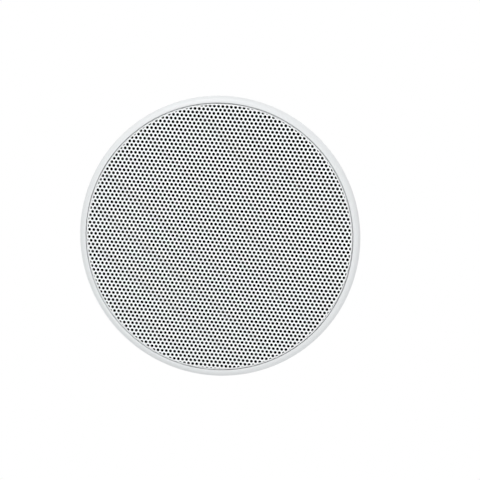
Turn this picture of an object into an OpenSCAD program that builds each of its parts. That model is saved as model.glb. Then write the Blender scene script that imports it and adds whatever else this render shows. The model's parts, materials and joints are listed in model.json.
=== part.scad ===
// Two-way ceiling loudspeaker with a perforated magnetic grille, as it hangs in use.
// +Z points up into the ceiling void and Z = 0 is the ceiling's surface, where the flange seats.
// The grille faces down. All sizes are in millimetres.

/* [Bezel and frame] */
// Outer diameter of the bezel
bezel_d = 233.6; // [228:0.2:246]
// Width of the bezel's rounded face, outer edge to grille recess
bezel_w = 5.7; // [4:0.1:8]
// Depth of the bezel's lip below the ceiling
bezel_drop = 6.4; // [5:0.1:7]
// Height of the straight outer edge against the ceiling
bezel_edge = 1.2; // [0.6:0.1:2]
// Thickness of the flange between the ceiling and the grille recess
flange_t = 3; // [2.6:0.1:3.6]
// Width between the woofer's flange and the collar, where the clamps stand
clamp_room = 15.5; // [14.5:0.5:17]
// Step by which the collar is slimmer above its locating band
band_step = 0.7; // [0.6:0.1:1.2]
// Wall thickness of the collar and the clamp towers
wall_t = 2.5; // [2:0.1:3]
// Height of the collar above the ceiling
collar_h = 24; // [18:1:30]
// Height of the baffle's front face above the ceiling
baffle_z = 7.5; // [6.5:0.5:9]
// Thickness of the baffle
baffle_t = 2.5; // [2:0.1:3.5]
// Thickness of the stiffening ribs behind the baffle
rib_t = 1.8; // [1.2:0.1:2.4]
// Angle between neighbouring ribs
rib_step = 15; // [10:5:30]
// Thickness of the foam ring against the ceiling
foam_t = 1.4; // [1:0.1:2]
// Width of the foam ring
foam_w = 4.5; // [3:0.5:5]

/* [Grille] */
// Gap between the grille and the bezel
grille_gap = 0.5; // [0.3:0.1:1]
// Depth of the grille's face below the ceiling
grille_drop = 7.2; // [6.6:0.1:9]
// Thickness of the grille's steel sheet
sheet_t = 0.8; // [0.6:0.1:1]
// Outer radius of the bend at the grille's edge
bend_r = 2; // [1.2:0.1:2.6]
// Distance between neighbouring holes of the perforated sheet
hole_pitch = 3.5; // [3.2:0.1:5]
// Diameter of the punched holes
hole_d = 2; // [1.4:0.1:2.4]
// Rows of the real sheet that one modelled row of larger holes stands for
hole_step = 2; // [2:1:4]
// Angle of the rows of holes
hole_turn = 4; // [0:1:30]
// Thickness of the black cloth behind the grille
cloth_t = 0.4; // [0.3:0.1:0.6]
// Number of magnets that hold the grille
magnet_count = 8; // [4:1:12]
// Diameter of a grille magnet
magnet_d = 6; // [5:0.5:7]
// Thickness of a grille magnet
magnet_t = 1.5; // [1:0.1:1.6]

/* [Ceiling clamps] */
// Number of swing-out clamps
clamp_count = 3; // [3:1:4]
// Distance from the collar's inner wall to the clamp screw's axis
clamp_inset = 8; // [7:0.5:9]
// Diameter of the clamp screw
clamp_screw_d = 5; // [4:0.5:6]
// Diameter of the clamp screw's head
clamp_head_d = 8.8; // [8:0.2:10]
// Height of the clamp screw's head
clamp_head_h = 2.6; // [2:0.2:3]
// Length of a clamp paw, from the screw's axis to the tip
paw_l = 29; // [24:1:30]
// Width of a clamp paw
paw_w = 10; // [8:1:12]
// Height of a clamp paw at its hub
paw_h = 14; // [11:1:16]
// Height of a clamp paw at its tip
paw_tip_h = 6; // [4:1:8]
// Diameter of a clamp paw's hub
paw_hub_d = 14; // [12.5:0.5:14.5]
// Diameter of the brass threaded bush in the hub
bush_d = 8; // [7:0.5:9]
// Travel of a paw down its screw
paw_travel = 31; // [20:1:31]

/* [Woofer] */
// Width of the woofer's flange outside the baffle's hole
flange_land = 11.5; // [10.5:0.5:12.5]
// Thickness of the woofer's flange
woofer_flange_t = 2.2; // [1.6:0.1:3]
// Thickness of the gasket between the woofer and the baffle
woofer_gasket_t = 0.8; // [0.6:0.1:1.2]
// Distance of the woofer's screws from its flange's edge
screw_in = 5.5; // [4.5:0.5:6]
// Gap between the surround's roll and the outside of the basket
basket_room = 0.5; // [0.4:0.1:1]
// Gap between the basket and the baffle's hole
basket_gap = 0.7; // [0.4:0.1:1]
// Wall thickness of the basket
basket_t = 2; // [1.6:0.1:2.4]
// Height of the basket, flange face to the back of its floor
basket_h = 42; // [40:1:48]
// Number of windows in the basket
window_count = 6; // [4:1:8]
// Width of a spoke between two windows, as an angle
spoke_angle = 20; // [14:1:26]
// Outer diameter of the cone
cone_d = 117; // [112:1:120]
// Thickness of the cone
cone_t = 0.8; // [0.6:0.1:1.2]
// Thickness of the rubber surround
surround_t = 0.8; // [0.6:0.1:1]
// Outer radius of the surround's roll
roll_r = 6.5; // [5.5:0.1:7]
// Outer diameter of the voice-coil former
former_d = 26; // [25:0.2:27]
// Thickness of the voice-coil former
former_t = 0.3; // [0.2:0.1:0.4]
// Thickness of the copper winding on the former
coil_t = 0.5; // [0.4:0.1:0.6]
// Length of the winding
coil_l = 12; // [8:1:13]
// Clearance on each side of the coil in the magnet's gap
coil_gap = 0.5; // [0.4:0.1:0.8]
// Furthest travel of the cone each way
cone_travel = 4; // [2:0.5:4]

/* [Magnet] */
// Diameter of the steel top plate
plate_d = 72; // [68:1:76]
// Thickness of the steel top plate
plate_t = 5; // [4:0.5:6]
// Outer diameter of the ferrite ring
ferrite_d = 85; // [80:1:90]
// Inner diameter of the ferrite ring
ferrite_hole_d = 40; // [36:1:44]
// Thickness of the ferrite ring
ferrite_t = 15; // [12:1:18]
// Diameter of the yoke's plate
yoke_d = 76; // [70:1:80]
// Thickness of the yoke's plate
yoke_t = 5; // [4:0.5:6]

/* [Tweeter] */
// Outer diameter of the tweeter's face
tweeter_d = 42; // [38:1:46]
// Thickness of the tweeter's face
tweeter_face_t = 4; // [3:0.5:5]
// Height of the tweeter's face above the ceiling
tweeter_z = 0.5; // [0:0.5:2]
// Diameter of the tweeter's dome and coil
dome_d = 25.4; // [24:0.2:27]
// Thickness of the dome
dome_t = 0.4; // [0.3:0.1:0.6]
// Outer diameter of the tweeter's steel cup
cup_d = 32; // [31:0.5:34]
// Depth of the tweeter's steel cup
cup_h = 12; // [11:0.5:14]
// Wall thickness of the cup
cup_t = 1.6; // [1.2:0.1:2]
// Outer diameter of the post that carries the tweeter
post_d = 14; // [12:0.5:16]
// Diameter of the bolt through the post
post_bolt_d = 3; // [2.5:0.5:3.5]
// Diameter of the two holes for the tweeter's leads beside that bolt
post_lead_d = 1.6; // [1.2:0.2:1.8]

/* [Crossover] */
// Length of the tray behind the magnet
tray_l = 74; // [70:1:84]
// Width of the tray
tray_w = 50; // [48:1:60]
// Height of the tray's wall
tray_h = 7; // [6:0.5:9]
// Wall thickness of the tray
tray_t = 2; // [1.5:0.1:2.5]
// Gap between the circuit board and the tray's wall
board_gap = 0.6; // [0.4:0.1:1]
// Thickness of the circuit board
board_t = 1.6; // [1:0.2:2]
// Height of the posts under the circuit board
board_post_h = 3; // [2.5:0.5:4]
// Length of the terminal block
block_l = 26; // [24:1:30]
// Width of the terminal block
block_w = 13; // [12:0.5:16]
// Height of the terminal block
block_h = 15; // [13:1:18]
// Diameter of the woofer's capacitor
woofer_cap_d = 13; // [11:1:14]
// Length of the woofer's capacitor
woofer_cap_l = 26; // [22:1:26]
// Diameter of the tweeter's capacitor
tweeter_cap_d = 9; // [8:1:10]
// Length of the tweeter's capacitor
tweeter_cap_l = 18; // [15:1:18]
// Diameter of the inductor's bobbin
inductor_d = 22; // [19:1:22]
// Height of the inductor's bobbin
inductor_h = 14; // [11:1:15]
// Diameter of the holes for the speaker wire
wire_hole_d = 3.4; // [2.4:0.2:3.8]
// Travel of a terminal button
button_travel = 3; // [2:0.5:3.5]
// Diameter of the woofer's leads
lead_d = 2; // [1.6:0.1:2.4]

/* [Hidden] */

// Overlap between solids that are fused, and overshoot of a cutter
e = 0.4;
// Running clearance of a turning or sliding fit, on the radius
run = 0.06;
// Clearance between pieces that must not touch
clear = 0.3;

// Radii from the cone out to the collar
cone_r = cone_d / 2;
surround_lap = 0.2;
roll_mid = cone_r + roll_r - surround_lap;
basket_r = roll_mid + roll_r + basket_room;
hole_r = basket_r + basket_gap;
woofer_r = hole_r + flange_land;
screw_circle = woofer_r - screw_in;
collar_ri = woofer_r + clamp_room;
collar_r = collar_ri + wall_t;

// Frame
bezel_r = bezel_d / 2;
recess_r = bezel_r - bezel_w;
lip_r = 0.6;
baffle_top = baffle_z + baffle_t;
foam_depth = 0.8;
foam_r = collar_r + 2;
rib_in = 12;
rib_down = 3;
boss_r = 3.8;
boss_h = 5.6;

// Grille
grille_r = recess_r - grille_gap;
face_z = -grille_drop;
magnet_ring_r = grille_r - magnet_d / 2 + clear;
hole_edge = 1.4;

// Clamps
clamp_first = 90;
clamp_r = collar_ri - clamp_inset;
screw_r = clamp_screw_d / 2;
washer_t = 0.8;
bush_flange_t = 1;
bush_flange_r = bush_d / 2 + 1.2;
paw_low = baffle_top + washer_t + bush_flange_t + clear;
paw_z = paw_low + paw_travel;
bridge_z = paw_z + paw_h + 1.5;
bridge_t = 3;
hub_room = paw_hub_d / 2 + 0.6;
window_y = paw_l + 4;
sill_h = 0.6;

// Woofer, in planes counted up from the flange's front face
woofer_z = baffle_z - woofer_gasket_t - woofer_flange_t;
basket_top = woofer_z + basket_h;
ledge_z = basket_top - 7;
ledge_r = 42.5;
ledge_w = 3.5;
floor_r = 40;
former_r = former_d / 2;
coil_r = former_r + coil_t;
gap_r = coil_r + coil_gap;
pole_r = former_r - former_t - coil_gap;
cone_lip_w = 3.5;
roll_base = woofer_z - surround_t;
neck_z = ledge_z - 6;
coil_mid = basket_top + plate_t / 2;
screw_head_r = 3.4;
screw_head_h = 2.2;
screw_shank_r = 1.5;
screw_l = 9;
screw_first = 45;

// Magnet
ferrite_z = basket_top + plate_t;
yoke_z = ferrite_z + ferrite_t;
back_z = yoke_z + yoke_t;

// Tweeter, in planes counted up from its front face
tweeter_r = tweeter_d / 2;
dome_z = tweeter_z + tweeter_face_t;
dome_r = dome_d / 2;
rim_t = 0.6;
cup_z = dome_z + rim_t;
cup_top = cup_z + cup_h;
cup_ri = cup_d / 2 - cup_t;
pole_plate_r = dome_r - 0.9;
pole_plate_t = 2.5;
saddle_t = 2;
tweeter_coil_h = 4;
saddle_r = cup_d / 2 - 2;
bolt_head_r = post_bolt_d / 2 + 1;
post_lead_y = bolt_head_r + post_lead_d / 2 + 0.2;

// Crossover
board_z = back_z + tray_t + board_post_h;
board_top = board_z + board_t;
board_l = tray_l - 2 * (tray_t + board_gap);
board_w = tray_w - 2 * (tray_t + board_gap);
board_screw_x = board_l / 2 - 4;
board_screw_y = board_w / 2 - 4;
tray_screw_x = 26;
corner_r = 4;
block_x = -board_l / 2 + block_w / 2 + 8;
button_pitch = 12;
button_l = 8;
button_w = 6;
button_up = 4;
button_x = 1.5;
button_gap = 0.2;
button_lip = 0.7;
button_lip_t = 2;
block_floor = 2;
block_roof = 3;
wire_hole_up = 4.4;
block_shelf = block_h - block_roof;
spring_wire_r = 0.3;
lead_x = board_l / 2 - 5;
tweeter_cap_at = [lead_x - 7.4, -8];
resistor_at = [lead_x - 9.4, 3];
inductor_at = [lead_x - 25.4, -9.5];
woofer_cap_at = [lead_x - 25.4, 12.5];
inductor_core_r = 5;
inductor_end_t = 1.5;
resistor_size = [7, 16, 7];

// Woofer's tags and leads
tag_x = ledge_r + ledge_w + basket_t + 4;
tag_t = 1.6;
tag_w = 13;
tag_low = ledge_z - 5.5;
tag_h = 12;
lead_gap = 3;
tinsel_r = former_r + (cone_r - former_r) * 0.24;
tinsel_d = 1;

// Points of an arc around [x, y], from angle a to angle b
function arc(x, y, r, a, b, n = 6) =
    [for (i = [0:n]) let (t = a + (b - a) * i / n) [x + r * cos(t), y + r * sin(t)]];
// Corners of a rectangle with rounded corners
function rounded(l, w, r) = concat(
    arc(l / 2 - r, w / 2 - r, r, 0, 90),
    arc(r - l / 2, w / 2 - r, r, 90, 180),
    arc(r - l / 2, r - w / 2, r, 180, 270),
    arc(l / 2 - r, r - w / 2, r, 270, 360)
);
// Rise of the cone's front face above its lip at radius r: a shallow horn
function cone_rise(r) =
    (neck_z - woofer_z) * (1 - pow((r - former_r) / (cone_r - cone_lip_w - former_r), 0.86));
function clamp_angle(k) = clamp_first + (k - 1) * 360 / clamp_count;
// Angle of a rib, counted from the clamp before it
function after_clamp(a) = (a - clamp_first + 360) % (360 / clamp_count);

module turn_at(r, a) {
    rotate([0, 0, a]) translate([r, 0, 0]) children();
}
module at_clamp(k) {
    turn_at(clamp_r, clamp_angle(k)) children();
}
module disc(r, z, h, fn = 96) {
    translate([0, 0, z]) cylinder(r = r, h = h, $fn = fn);
}
module ring(ro, ri, z, h, fn = 96) {
    difference() {
        disc(ro, z, h, fn);
        disc(ri, z - e, h + 2 * e, fn);
    }
}
module turned(points, fn = 96) {
    rotate_extrude($fn = fn) polygon(points);
}
// A pan head under a flat face, with a cross recess in its crown
module pan_head(r, h) {
    difference() {
        turned(concat(
            [[0, 0], [r, 0]], arc(r - h * 0.55, -h * 0.45, h * 0.55, 0, -90, 4), [[0, -h]]
        ), 32);
        for (a = [0, 90]) {
            rotate([0, 0, a]) translate([-r * 0.6, -r * 0.11, -h - e])
                cube([r * 1.2, r * 0.22, h * 0.5 + e]);
        }
    }
}

// Moulded frame, one node for each plain form: bezel ring, collar, baffle, bosses, ribs and clamp towers
module bezel_ring() {
    w = bezel_w - lip_r;
    h = bezel_drop - bezel_edge;
    color("whitesmoke") difference() {
        rotate_extrude($fn = 128) polygon(concat(
            [[collar_ri, 0], [bezel_r, 0]],
            [for (a = [0:11.25:90]) [bezel_r - w * (1 - cos(a)), -bezel_edge - h * sin(a)]],
            arc(recess_r + lip_r, lip_r - bezel_drop, lip_r, 270, 180, 3),
            [[recess_r, -flange_t], [collar_ri + flange_t / 2, -flange_t], [collar_ri, -flange_t / 2]]
        ));
        ring(foam_r + foam_w + clear, foam_r - clear, -foam_depth, foam_depth + e, 128);
        for (k = [1:magnet_count]) {
            turn_at(magnet_ring_r, 360 / magnet_count * (k - 0.5))
                disc(magnet_d / 2, -flange_t - e, magnet_t + e, 24);
        }
    }
}
module clamp_window() {
    y = -hub_room - wall_t / 2;
    translate([-clamp_inset, y, baffle_top + sill_h])
        cube([2 * clamp_inset + 2 * wall_t, window_y - y, collar_h]);
}
module collar() {
    slim_r = collar_r - band_step;
    color("whitesmoke") difference() {
        turned([
            [collar_ri, 0], [collar_r, 0], [collar_r, baffle_top], [slim_r, baffle_top + band_step],
            [slim_r, collar_h], [collar_ri, collar_h]
        ], 128);
        for (k = [1:clamp_count]) at_clamp(k) clamp_window();
    }
}
module baffle() {
    color("whitesmoke") difference() {
        ring(collar_ri, hole_r, baffle_z, baffle_t, 128);
        for (k = [1:clamp_count]) {
            at_clamp(k) disc(screw_r + run, baffle_z - e, baffle_t + 2 * e, 32);
        }
        for (k = [0:3]) {
            turn_at(screw_circle, screw_first + 90 * k)
                disc(screw_shank_r, baffle_z - e, baffle_t + 2 * e, 24);
        }
    }
}
module screw_bosses() {
    color("whitesmoke") for (k = [0:3]) {
        turn_at(screw_circle, screw_first + 90 * k) difference() {
            disc(boss_r, baffle_top, boss_h, 32);
            disc(screw_shank_r, baffle_top - e, boss_h - 1 + e, 24);
        }
    }
}
module frame_ribs() {
    l = collar_ri - hole_r - rib_in + wall_t / 2;
    color("whitesmoke") for (a = [0:rib_step:359]) {
        if (after_clamp(a) > 24 && after_clamp(a) < 360 / clamp_count - 8) intersection() {
            turn_at(hole_r + rib_in, a) translate([0, -rib_t / 2, baffle_top])
                cube([l, rib_t, collar_h - baffle_top - rib_down]);
            disc(collar_ri, baffle_top - e, collar_h, 128);
        }
    }
}
module clamp_tower() {
    a = hub_room;
    b = hub_room + wall_t;
    h = bridge_z + bridge_t - baffle_top;
    out = clamp_inset + wall_t / 2;
    difference() {
        translate([0, 0, baffle_top]) union() {
            linear_extrude(h) polygon([[-b, -b], [a - e, -b], [a - e, -a], [-a, -a], [-a, a], [-b, a]]);
            translate([-a, -b, 0]) cube([out + a, wall_t, collar_h - baffle_top - rib_down]);
            translate([-b, -b, h - bridge_t]) cube([a + b - e, a + b, bridge_t]);
        }
        disc(screw_r + run, bridge_z - e, bridge_t + 2 * e, 32);
    }
}
module clamp_towers() {
    color("whitesmoke") for (k = [1:clamp_count]) intersection() {
        at_clamp(k) clamp_tower();
        disc(collar_ri, baffle_z, bridge_z + bridge_t, 128);
    }
}
module ceiling_gasket() {
    color("dimgray") ring(foam_r + foam_w, foam_r, -foam_depth, foam_t, 128);
}
module grille_magnets() {
    color("silver") for (k = [1:magnet_count]) {
        turn_at(magnet_ring_r, 360 / magnet_count * (k - 0.5)) disc(magnet_d / 2, -flange_t, magnet_t, 24);
    }
}

// Pressed steel grille: a flat perforated face with a bent rim
module grille() {
    flat_r = grille_r - bend_r;
    pitch = hole_pitch * hole_step;
    reach = flat_r - hole_d * hole_step / 2 - hole_edge;
    n = ceil(reach / pitch) + 1;
    spots = [
        for (j = [-n:n]) for (i = [-2 * n:2 * n])
            let (x = (i + j / 2) * pitch, y = j * pitch * sqrt(3) / 2)
            if (norm([x, y]) < reach) [x, y]
    ];
    color("white") union() {
        translate([0, 0, face_z]) linear_extrude(sheet_t) difference() {
            circle(r = flat_r, $fn = 128);
            rotate([0, 0, hole_turn]) for (p = spots) {
                translate(p) circle(d = hole_d * hole_step, $fn = 16);
            }
        }
        rotate_extrude($fn = 128) polygon(concat(
            [[flat_r, face_z]],
            arc(flat_r, face_z + bend_r, bend_r, -75, 0, 5),
            [[grille_r, -flange_t], [grille_r - sheet_t, -flange_t]],
            arc(flat_r, face_z + bend_r, bend_r - sheet_t, 0, -90, 5)
        ));
    }
}
module grille_cloth() {
    color("black") disc(grille_r - bend_r, face_z + sheet_t, cloth_t, 128);
}

// Woofer
module woofer_gasket() {
    color("black") difference() {
        ring(woofer_r, hole_r, baffle_z - woofer_gasket_t, woofer_gasket_t);
        for (k = [0:3]) {
            turn_at(screw_circle, screw_first + 90 * k)
                disc(screw_shank_r + 0.6, woofer_z, woofer_flange_t * 2, 24);
        }
    }
}
module basket_shell() {
    t = basket_t;
    lip = roll_mid + roll_r + clear;
    outer = ledge_r + ledge_w + t;
    turned([
        [lip, woofer_z], [woofer_r, woofer_z], [woofer_r, woofer_z + woofer_flange_t],
        [basket_r, woofer_z + woofer_flange_t], [basket_r, baffle_z + 1],
        [outer, ledge_z - 2], [outer, ledge_z + t], [floor_r + t, basket_top],
        [gap_r + 1, basket_top], [gap_r + 1, basket_top - t], [floor_r, basket_top - t],
        [ledge_r, ledge_z + t], [ledge_r, ledge_z], [ledge_r + ledge_w, ledge_z],
        [ledge_r + ledge_w, ledge_z - 2], [basket_r - t, baffle_z + 1], [lip, baffle_z + 1 - t]
    ]);
}
module woofer_basket() {
    low = baffle_top + 3;
    high = ledge_z - 4;
    half = (360 / window_count - spoke_angle) / 2;
    color("dimgray") difference() {
        union() {
            basket_shell();
            translate([ledge_r + ledge_w, -tag_w / 2, ledge_z - 2])
                cube([tag_x - ledge_r - ledge_w, tag_w, 2 + basket_t]);
        }
        for (k = [1:window_count]) {
            a = 360 / window_count * k;
            translate([0, 0, low]) linear_extrude(high - low)
                polygon(concat(
                    arc(0, 0, floor_r - 10, a - half, a + half, 4),
                    arc(0, 0, woofer_r, a + half, a - half, 4)
                ));
        }
        for (k = [0:3]) {
            turn_at(screw_circle, screw_first + 90 * k)
                disc(screw_shank_r + 0.6, woofer_z - e, woofer_flange_t + 2 * e, 24);
        }
    }
}
module woofer_screws() {
    color("black") for (k = [0:3]) {
        turn_at(screw_circle, screw_first + 90 * k) translate([0, 0, woofer_z]) {
            pan_head(screw_head_r, screw_head_h);
            disc(screw_shank_r, -e, screw_l + e, 24);
        }
    }
}
module woofer_surround() {
    outer = screw_circle - screw_head_r - clear;
    color("black") turned(concat(
        [[cone_r - cone_lip_w, roll_base], [roll_mid - roll_r, roll_base]],
        arc(roll_mid, roll_base, roll_r, 180, 360, 12),
        [[outer, roll_base], [outer, woofer_z]],
        [[roll_mid + roll_r - surround_t, woofer_z]],
        arc(roll_mid, roll_base, roll_r - surround_t, 360, 180, 12),
        [[roll_mid - roll_r + surround_t, woofer_z], [cone_r - cone_lip_w, woofer_z]]
    ));
}
module woofer_cone() {
    inner = cone_r - cone_lip_w;
    n = 8;
    radii = [for (i = [0:n]) inner + (former_r - inner) * i / n];
    color("darkslategray") turned(concat(
        [[cone_r, woofer_z], [inner, woofer_z]],
        [for (i = [1:n]) [radii[i], woofer_z + cone_rise(radii[i])]],
        [for (i = [n:-1:1]) [radii[i], woofer_z + cone_rise(radii[i]) + cone_t * 1.3]],
        [[inner + cone_t * 0.4, woofer_z + cone_t], [cone_r, woofer_z + cone_t]]
    ));
}
module coil_former() {
    color("tan") ring(former_r, former_r - former_t, neck_z - 3, coil_mid + coil_l / 2 + 2 - neck_z + 3);
}
module voice_coil() {
    color("peru") ring(coil_r, former_r, coil_mid - coil_l / 2, coil_l);
}
module spider() {
    t = 0.6;
    a = 1.1;
    waves = 5;
    outer = ledge_r - 1;
    inner = former_r + 2.5;
    n = waves * 6;
    function wave(i) = a * sin(360 * waves * i / n);
    radii = [for (i = [0:n]) inner + (outer - inner) * i / n];
    color("goldenrod") turned(concat(
        [[former_r, ledge_z - t]],
        [for (i = [0:n]) [radii[i], ledge_z - t - wave(i)]],
        [[ledge_r + ledge_w, ledge_z - t], [ledge_r + ledge_w, ledge_z]],
        [for (i = [n:-1:0]) [radii[i], ledge_z - wave(i)]],
        [[former_r, ledge_z]]
    ));
}
module top_plate() {
    color("silver") ring(plate_d / 2, gap_r, basket_top, plate_t);
}
module ferrite_magnet() {
    color("dimgray") difference() {
        translate([0, 0, ferrite_z]) cylinder(d = ferrite_d, h = ferrite_t, $fn = 96);
        translate([0, 0, ferrite_z - e]) cylinder(d = ferrite_hole_d, h = ferrite_t + 2 * e, $fn = 96);
    }
}
// Holes for the tweeter's bolt and leads
module post_bores(z, h) {
    disc(post_bolt_d / 2, z, h, 24);
    for (s = [-1, 1]) translate([0, s * post_lead_y, 0]) disc(post_lead_d / 2, z, h, 24);
}
module yoke() {
    color("silver") difference() {
        union() {
            disc(yoke_d / 2, yoke_z, yoke_t);
            disc(pole_r, basket_top, yoke_z - basket_top + e);
        }
        post_bores(basket_top - e, back_z - basket_top + 2 * e);
        for (s = [-1, 1]) translate([s * tray_screw_x, 0, 0]) disc(1.5, yoke_z - e, yoke_t + 2 * e, 24);
    }
}

// Tweeter on a post through the woofer's former
module tweeter_post() {
    color("black") difference() {
        union() {
            disc(saddle_r, cup_top, saddle_t);
            disc(post_d / 2, cup_top, basket_top - cup_top);
        }
        post_bores(cup_top - e, basket_top - cup_top + 2 * e);
    }
}
module tweeter_cup() {
    color("silver") difference() {
        disc(cup_d / 2, cup_z, cup_h);
        disc(cup_ri, cup_z - e, cup_h - cup_t + e);
        disc(post_bolt_d / 2, cup_top - cup_t - e, cup_t + 2 * e, 24);
    }
}
module tweeter_magnet() {
    color("gray") difference() {
        disc(pole_plate_r - 0.5, cup_z + pole_plate_t + 0.6, cup_h - cup_t - pole_plate_t - 0.6);
        disc(post_bolt_d / 2, cup_z, cup_h, 24);
    }
}
module tweeter_pole_plate() {
    color("silver") difference() {
        disc(pole_plate_r, cup_z + 0.6, pole_plate_t);
        disc(post_bolt_d / 2, cup_z, cup_h, 24);
    }
}
module tweeter_dome() {
    h = 5;
    big = (dome_r * dome_r + h * h) / (2 * h);
    half = asin(dome_r / big);
    roll = 1.5;
    color("black") turned(concat(
        [for (i = [0:6]) let (a = half * i / 6) [big * sin(a), dome_z - h + big * (1 - cos(a))]],
        arc(dome_r + roll, dome_z, roll, 180, 360, 6),
        [[tweeter_r - 2, dome_z], [tweeter_r - 2, cup_z]],
        [[dome_r + 2 * roll - dome_t, cup_z]],
        arc(dome_r + roll, dome_z, roll - dome_t, 360, 180, 6),
        [for (i = [6:-1:0]) let (a = half * i / 6)
            [(big - dome_t) * sin(a), dome_z - h + big - (big - dome_t) * cos(a)]]
    ));
}
module tweeter_coil() {
    color("peru") ring(dome_r - 0.1, dome_r - 0.5, dome_z + dome_t, tweeter_coil_h, 64);
}
module tweeter_face() {
    mouth = dome_r + 3.4;
    color("black") turned(concat(
        [[mouth + 1.4, tweeter_z], [tweeter_r - 1, tweeter_z], [tweeter_r, tweeter_z + 1]],
        [[tweeter_r, dome_z], [mouth, dome_z], [mouth, dome_z - 1.2]]
    ));
}
module tweeter_bolt() {
    tip = cup_z + 1.2 + pole_plate_t / 2;
    color("silver") union() {
        disc(post_bolt_d / 2, tip, back_z - tip + e, 24);
        translate([0, 0, back_z]) mirror([0, 0, 1]) pan_head(bolt_head_r, 2.2);
    }
}

// Crossover on the back of the magnet
module crossover_tray() {
    color("black") difference() {
        union() {
            difference() {
                translate([0, 0, back_z]) linear_extrude(tray_h) polygon(rounded(tray_l, tray_w, corner_r));
                translate([0, 0, back_z + tray_t]) linear_extrude(tray_h)
                    polygon(rounded(tray_l - 2 * tray_t, tray_w - 2 * tray_t, corner_r - tray_t / 2));
            }
            for (x = [-board_screw_x, board_screw_x]) for (y = [-board_screw_y, board_screw_y]) {
                translate([x, y, 0]) disc(2.8, back_z + tray_t - e, board_post_h + e, 24);
            }
        }
        disc(post_lead_y + post_lead_d, back_z - e, tray_t + 2 * e, 32);
        for (s = [-1, 1]) translate([s * tray_screw_x, 0, 0]) disc(1.7, back_z - e, tray_t + 2 * e, 24);
        for (x = [-board_screw_x, board_screw_x]) for (y = [-board_screw_y, board_screw_y]) {
            translate([x, y, 0]) disc(1, back_z + tray_t, board_post_h + e, 24);
        }
        for (s = [-1, 1]) {
            translate([tray_l / 2 - tray_t - e, s * lead_d * 1.5 - lead_d, back_z + tray_t])
                cube([tray_t + 2 * e, 2 * lead_d, tray_h]);
        }
    }
}
module tray_screws() {
    color("silver") for (s = [-1, 1]) {
        translate([s * tray_screw_x, 0, back_z + tray_t]) mirror([0, 0, 1]) pan_head(3, 2);
        translate([s * tray_screw_x, 0, 0]) disc(1.5, back_z - 4, tray_t + 4 + e, 24);
    }
}
module circuit_board() {
    color("darkgreen") difference() {
        translate([0, 0, board_z]) linear_extrude(board_t) polygon(rounded(board_l, board_w, corner_r - 2));
        for (x = [-board_screw_x, board_screw_x]) for (y = [-board_screw_y, board_screw_y]) {
            translate([x, y, 0]) disc(1.3, board_z - e, board_t + 2 * e, 24);
        }
    }
}
module board_screws() {
    color("silver") for (x = [-board_screw_x, board_screw_x]) for (y = [-board_screw_y, board_screw_y]) {
        translate([x, y, board_top]) mirror([0, 0, 1]) pan_head(2.2, 1.5);
        translate([x, y, 0]) disc(1, board_z - 2, board_t + 2 + e, 24);
    }
}
// A round part that lies on the board, along X or turned along Y, with slightly rounded ends
module lying_can(r, l, turn) {
    translate([0, 0, board_top + r]) rotate([0, 0, turn]) rotate([0, 90, 0]) translate([0, 0, -l / 2])
        turned([[0, 0], [r - 0.8, 0], [r, 0.8], [r, l - 0.8], [r - 0.8, l], [0, l]], 48);
}
module woofer_capacitor() {
    color("saddlebrown") translate(woofer_cap_at) lying_can(woofer_cap_d / 2, woofer_cap_l, 0);
}
module tweeter_capacitor() {
    color("navy") translate(tweeter_cap_at) lying_can(tweeter_cap_d / 2, tweeter_cap_l, 90);
}
module inductor_core() {
    low = board_top + inductor_end_t;
    top = board_top + inductor_h;
    color("dimgray") translate(inductor_at) turned([
        [0, board_top], [inductor_d / 2, board_top], [inductor_d / 2, low], [inductor_core_r, low],
        [inductor_core_r, top - inductor_end_t], [inductor_d / 2, top - inductor_end_t],
        [inductor_d / 2, top], [0, top]
    ], 64);
}
module inductor_winding() {
    h = inductor_h - 2 * inductor_end_t;
    color("peru") translate(inductor_at)
        ring(inductor_d / 2 - 1, inductor_core_r, board_top + inductor_end_t, h, 64);
}
module resistor() {
    color("gainsboro") translate([resistor_at[0], resistor_at[1], board_top]) cube(resistor_size);
}

// Spring terminals for the speaker wire
module at_button(s, x = 0) {
    translate([block_x + x, s * button_pitch / 2, board_top]) children();
}
// A block centred on the button's axis, from height z
module pad(w, l, z, h) {
    translate([-w / 2, -l / 2, z]) cube([w, l, h]);
}
module terminal_block() {
    slot_w = button_w + 2 * button_gap;
    slot_l = button_l + 2 * button_gap;
    well = 2 * (button_lip + clear);
    hole_l = block_w / 2 - 2 + e;
    color("black") difference() {
        translate([block_x, 0, board_top]) pad(block_w, block_l, 0, block_h);
        for (s = [-1, 1]) {
            at_button(s, button_x) pad(slot_w, slot_l, block_floor, block_h);
            at_button(s, button_x)
                pad(button_w + well, button_l + well, block_floor, block_shelf - block_floor);
            at_button(s, -block_w / 2 - e) translate([0, 0, wire_hole_up]) rotate([0, 90, 0])
                cylinder(d = wire_hole_d, h = hole_l, $fn = 32);
        }
    }
}
module terminal_button(s, tint) {
    foot = block_shelf - clear;
    low = foot - button_lip_t;
    color(tint) at_button(s, button_x) {
        pad(button_w, button_l, foot - e, block_h + button_up - foot + e);
        pad(button_w + 2 * button_lip, button_l + 2 * button_lip, low, button_lip_t);
    }
}
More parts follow.
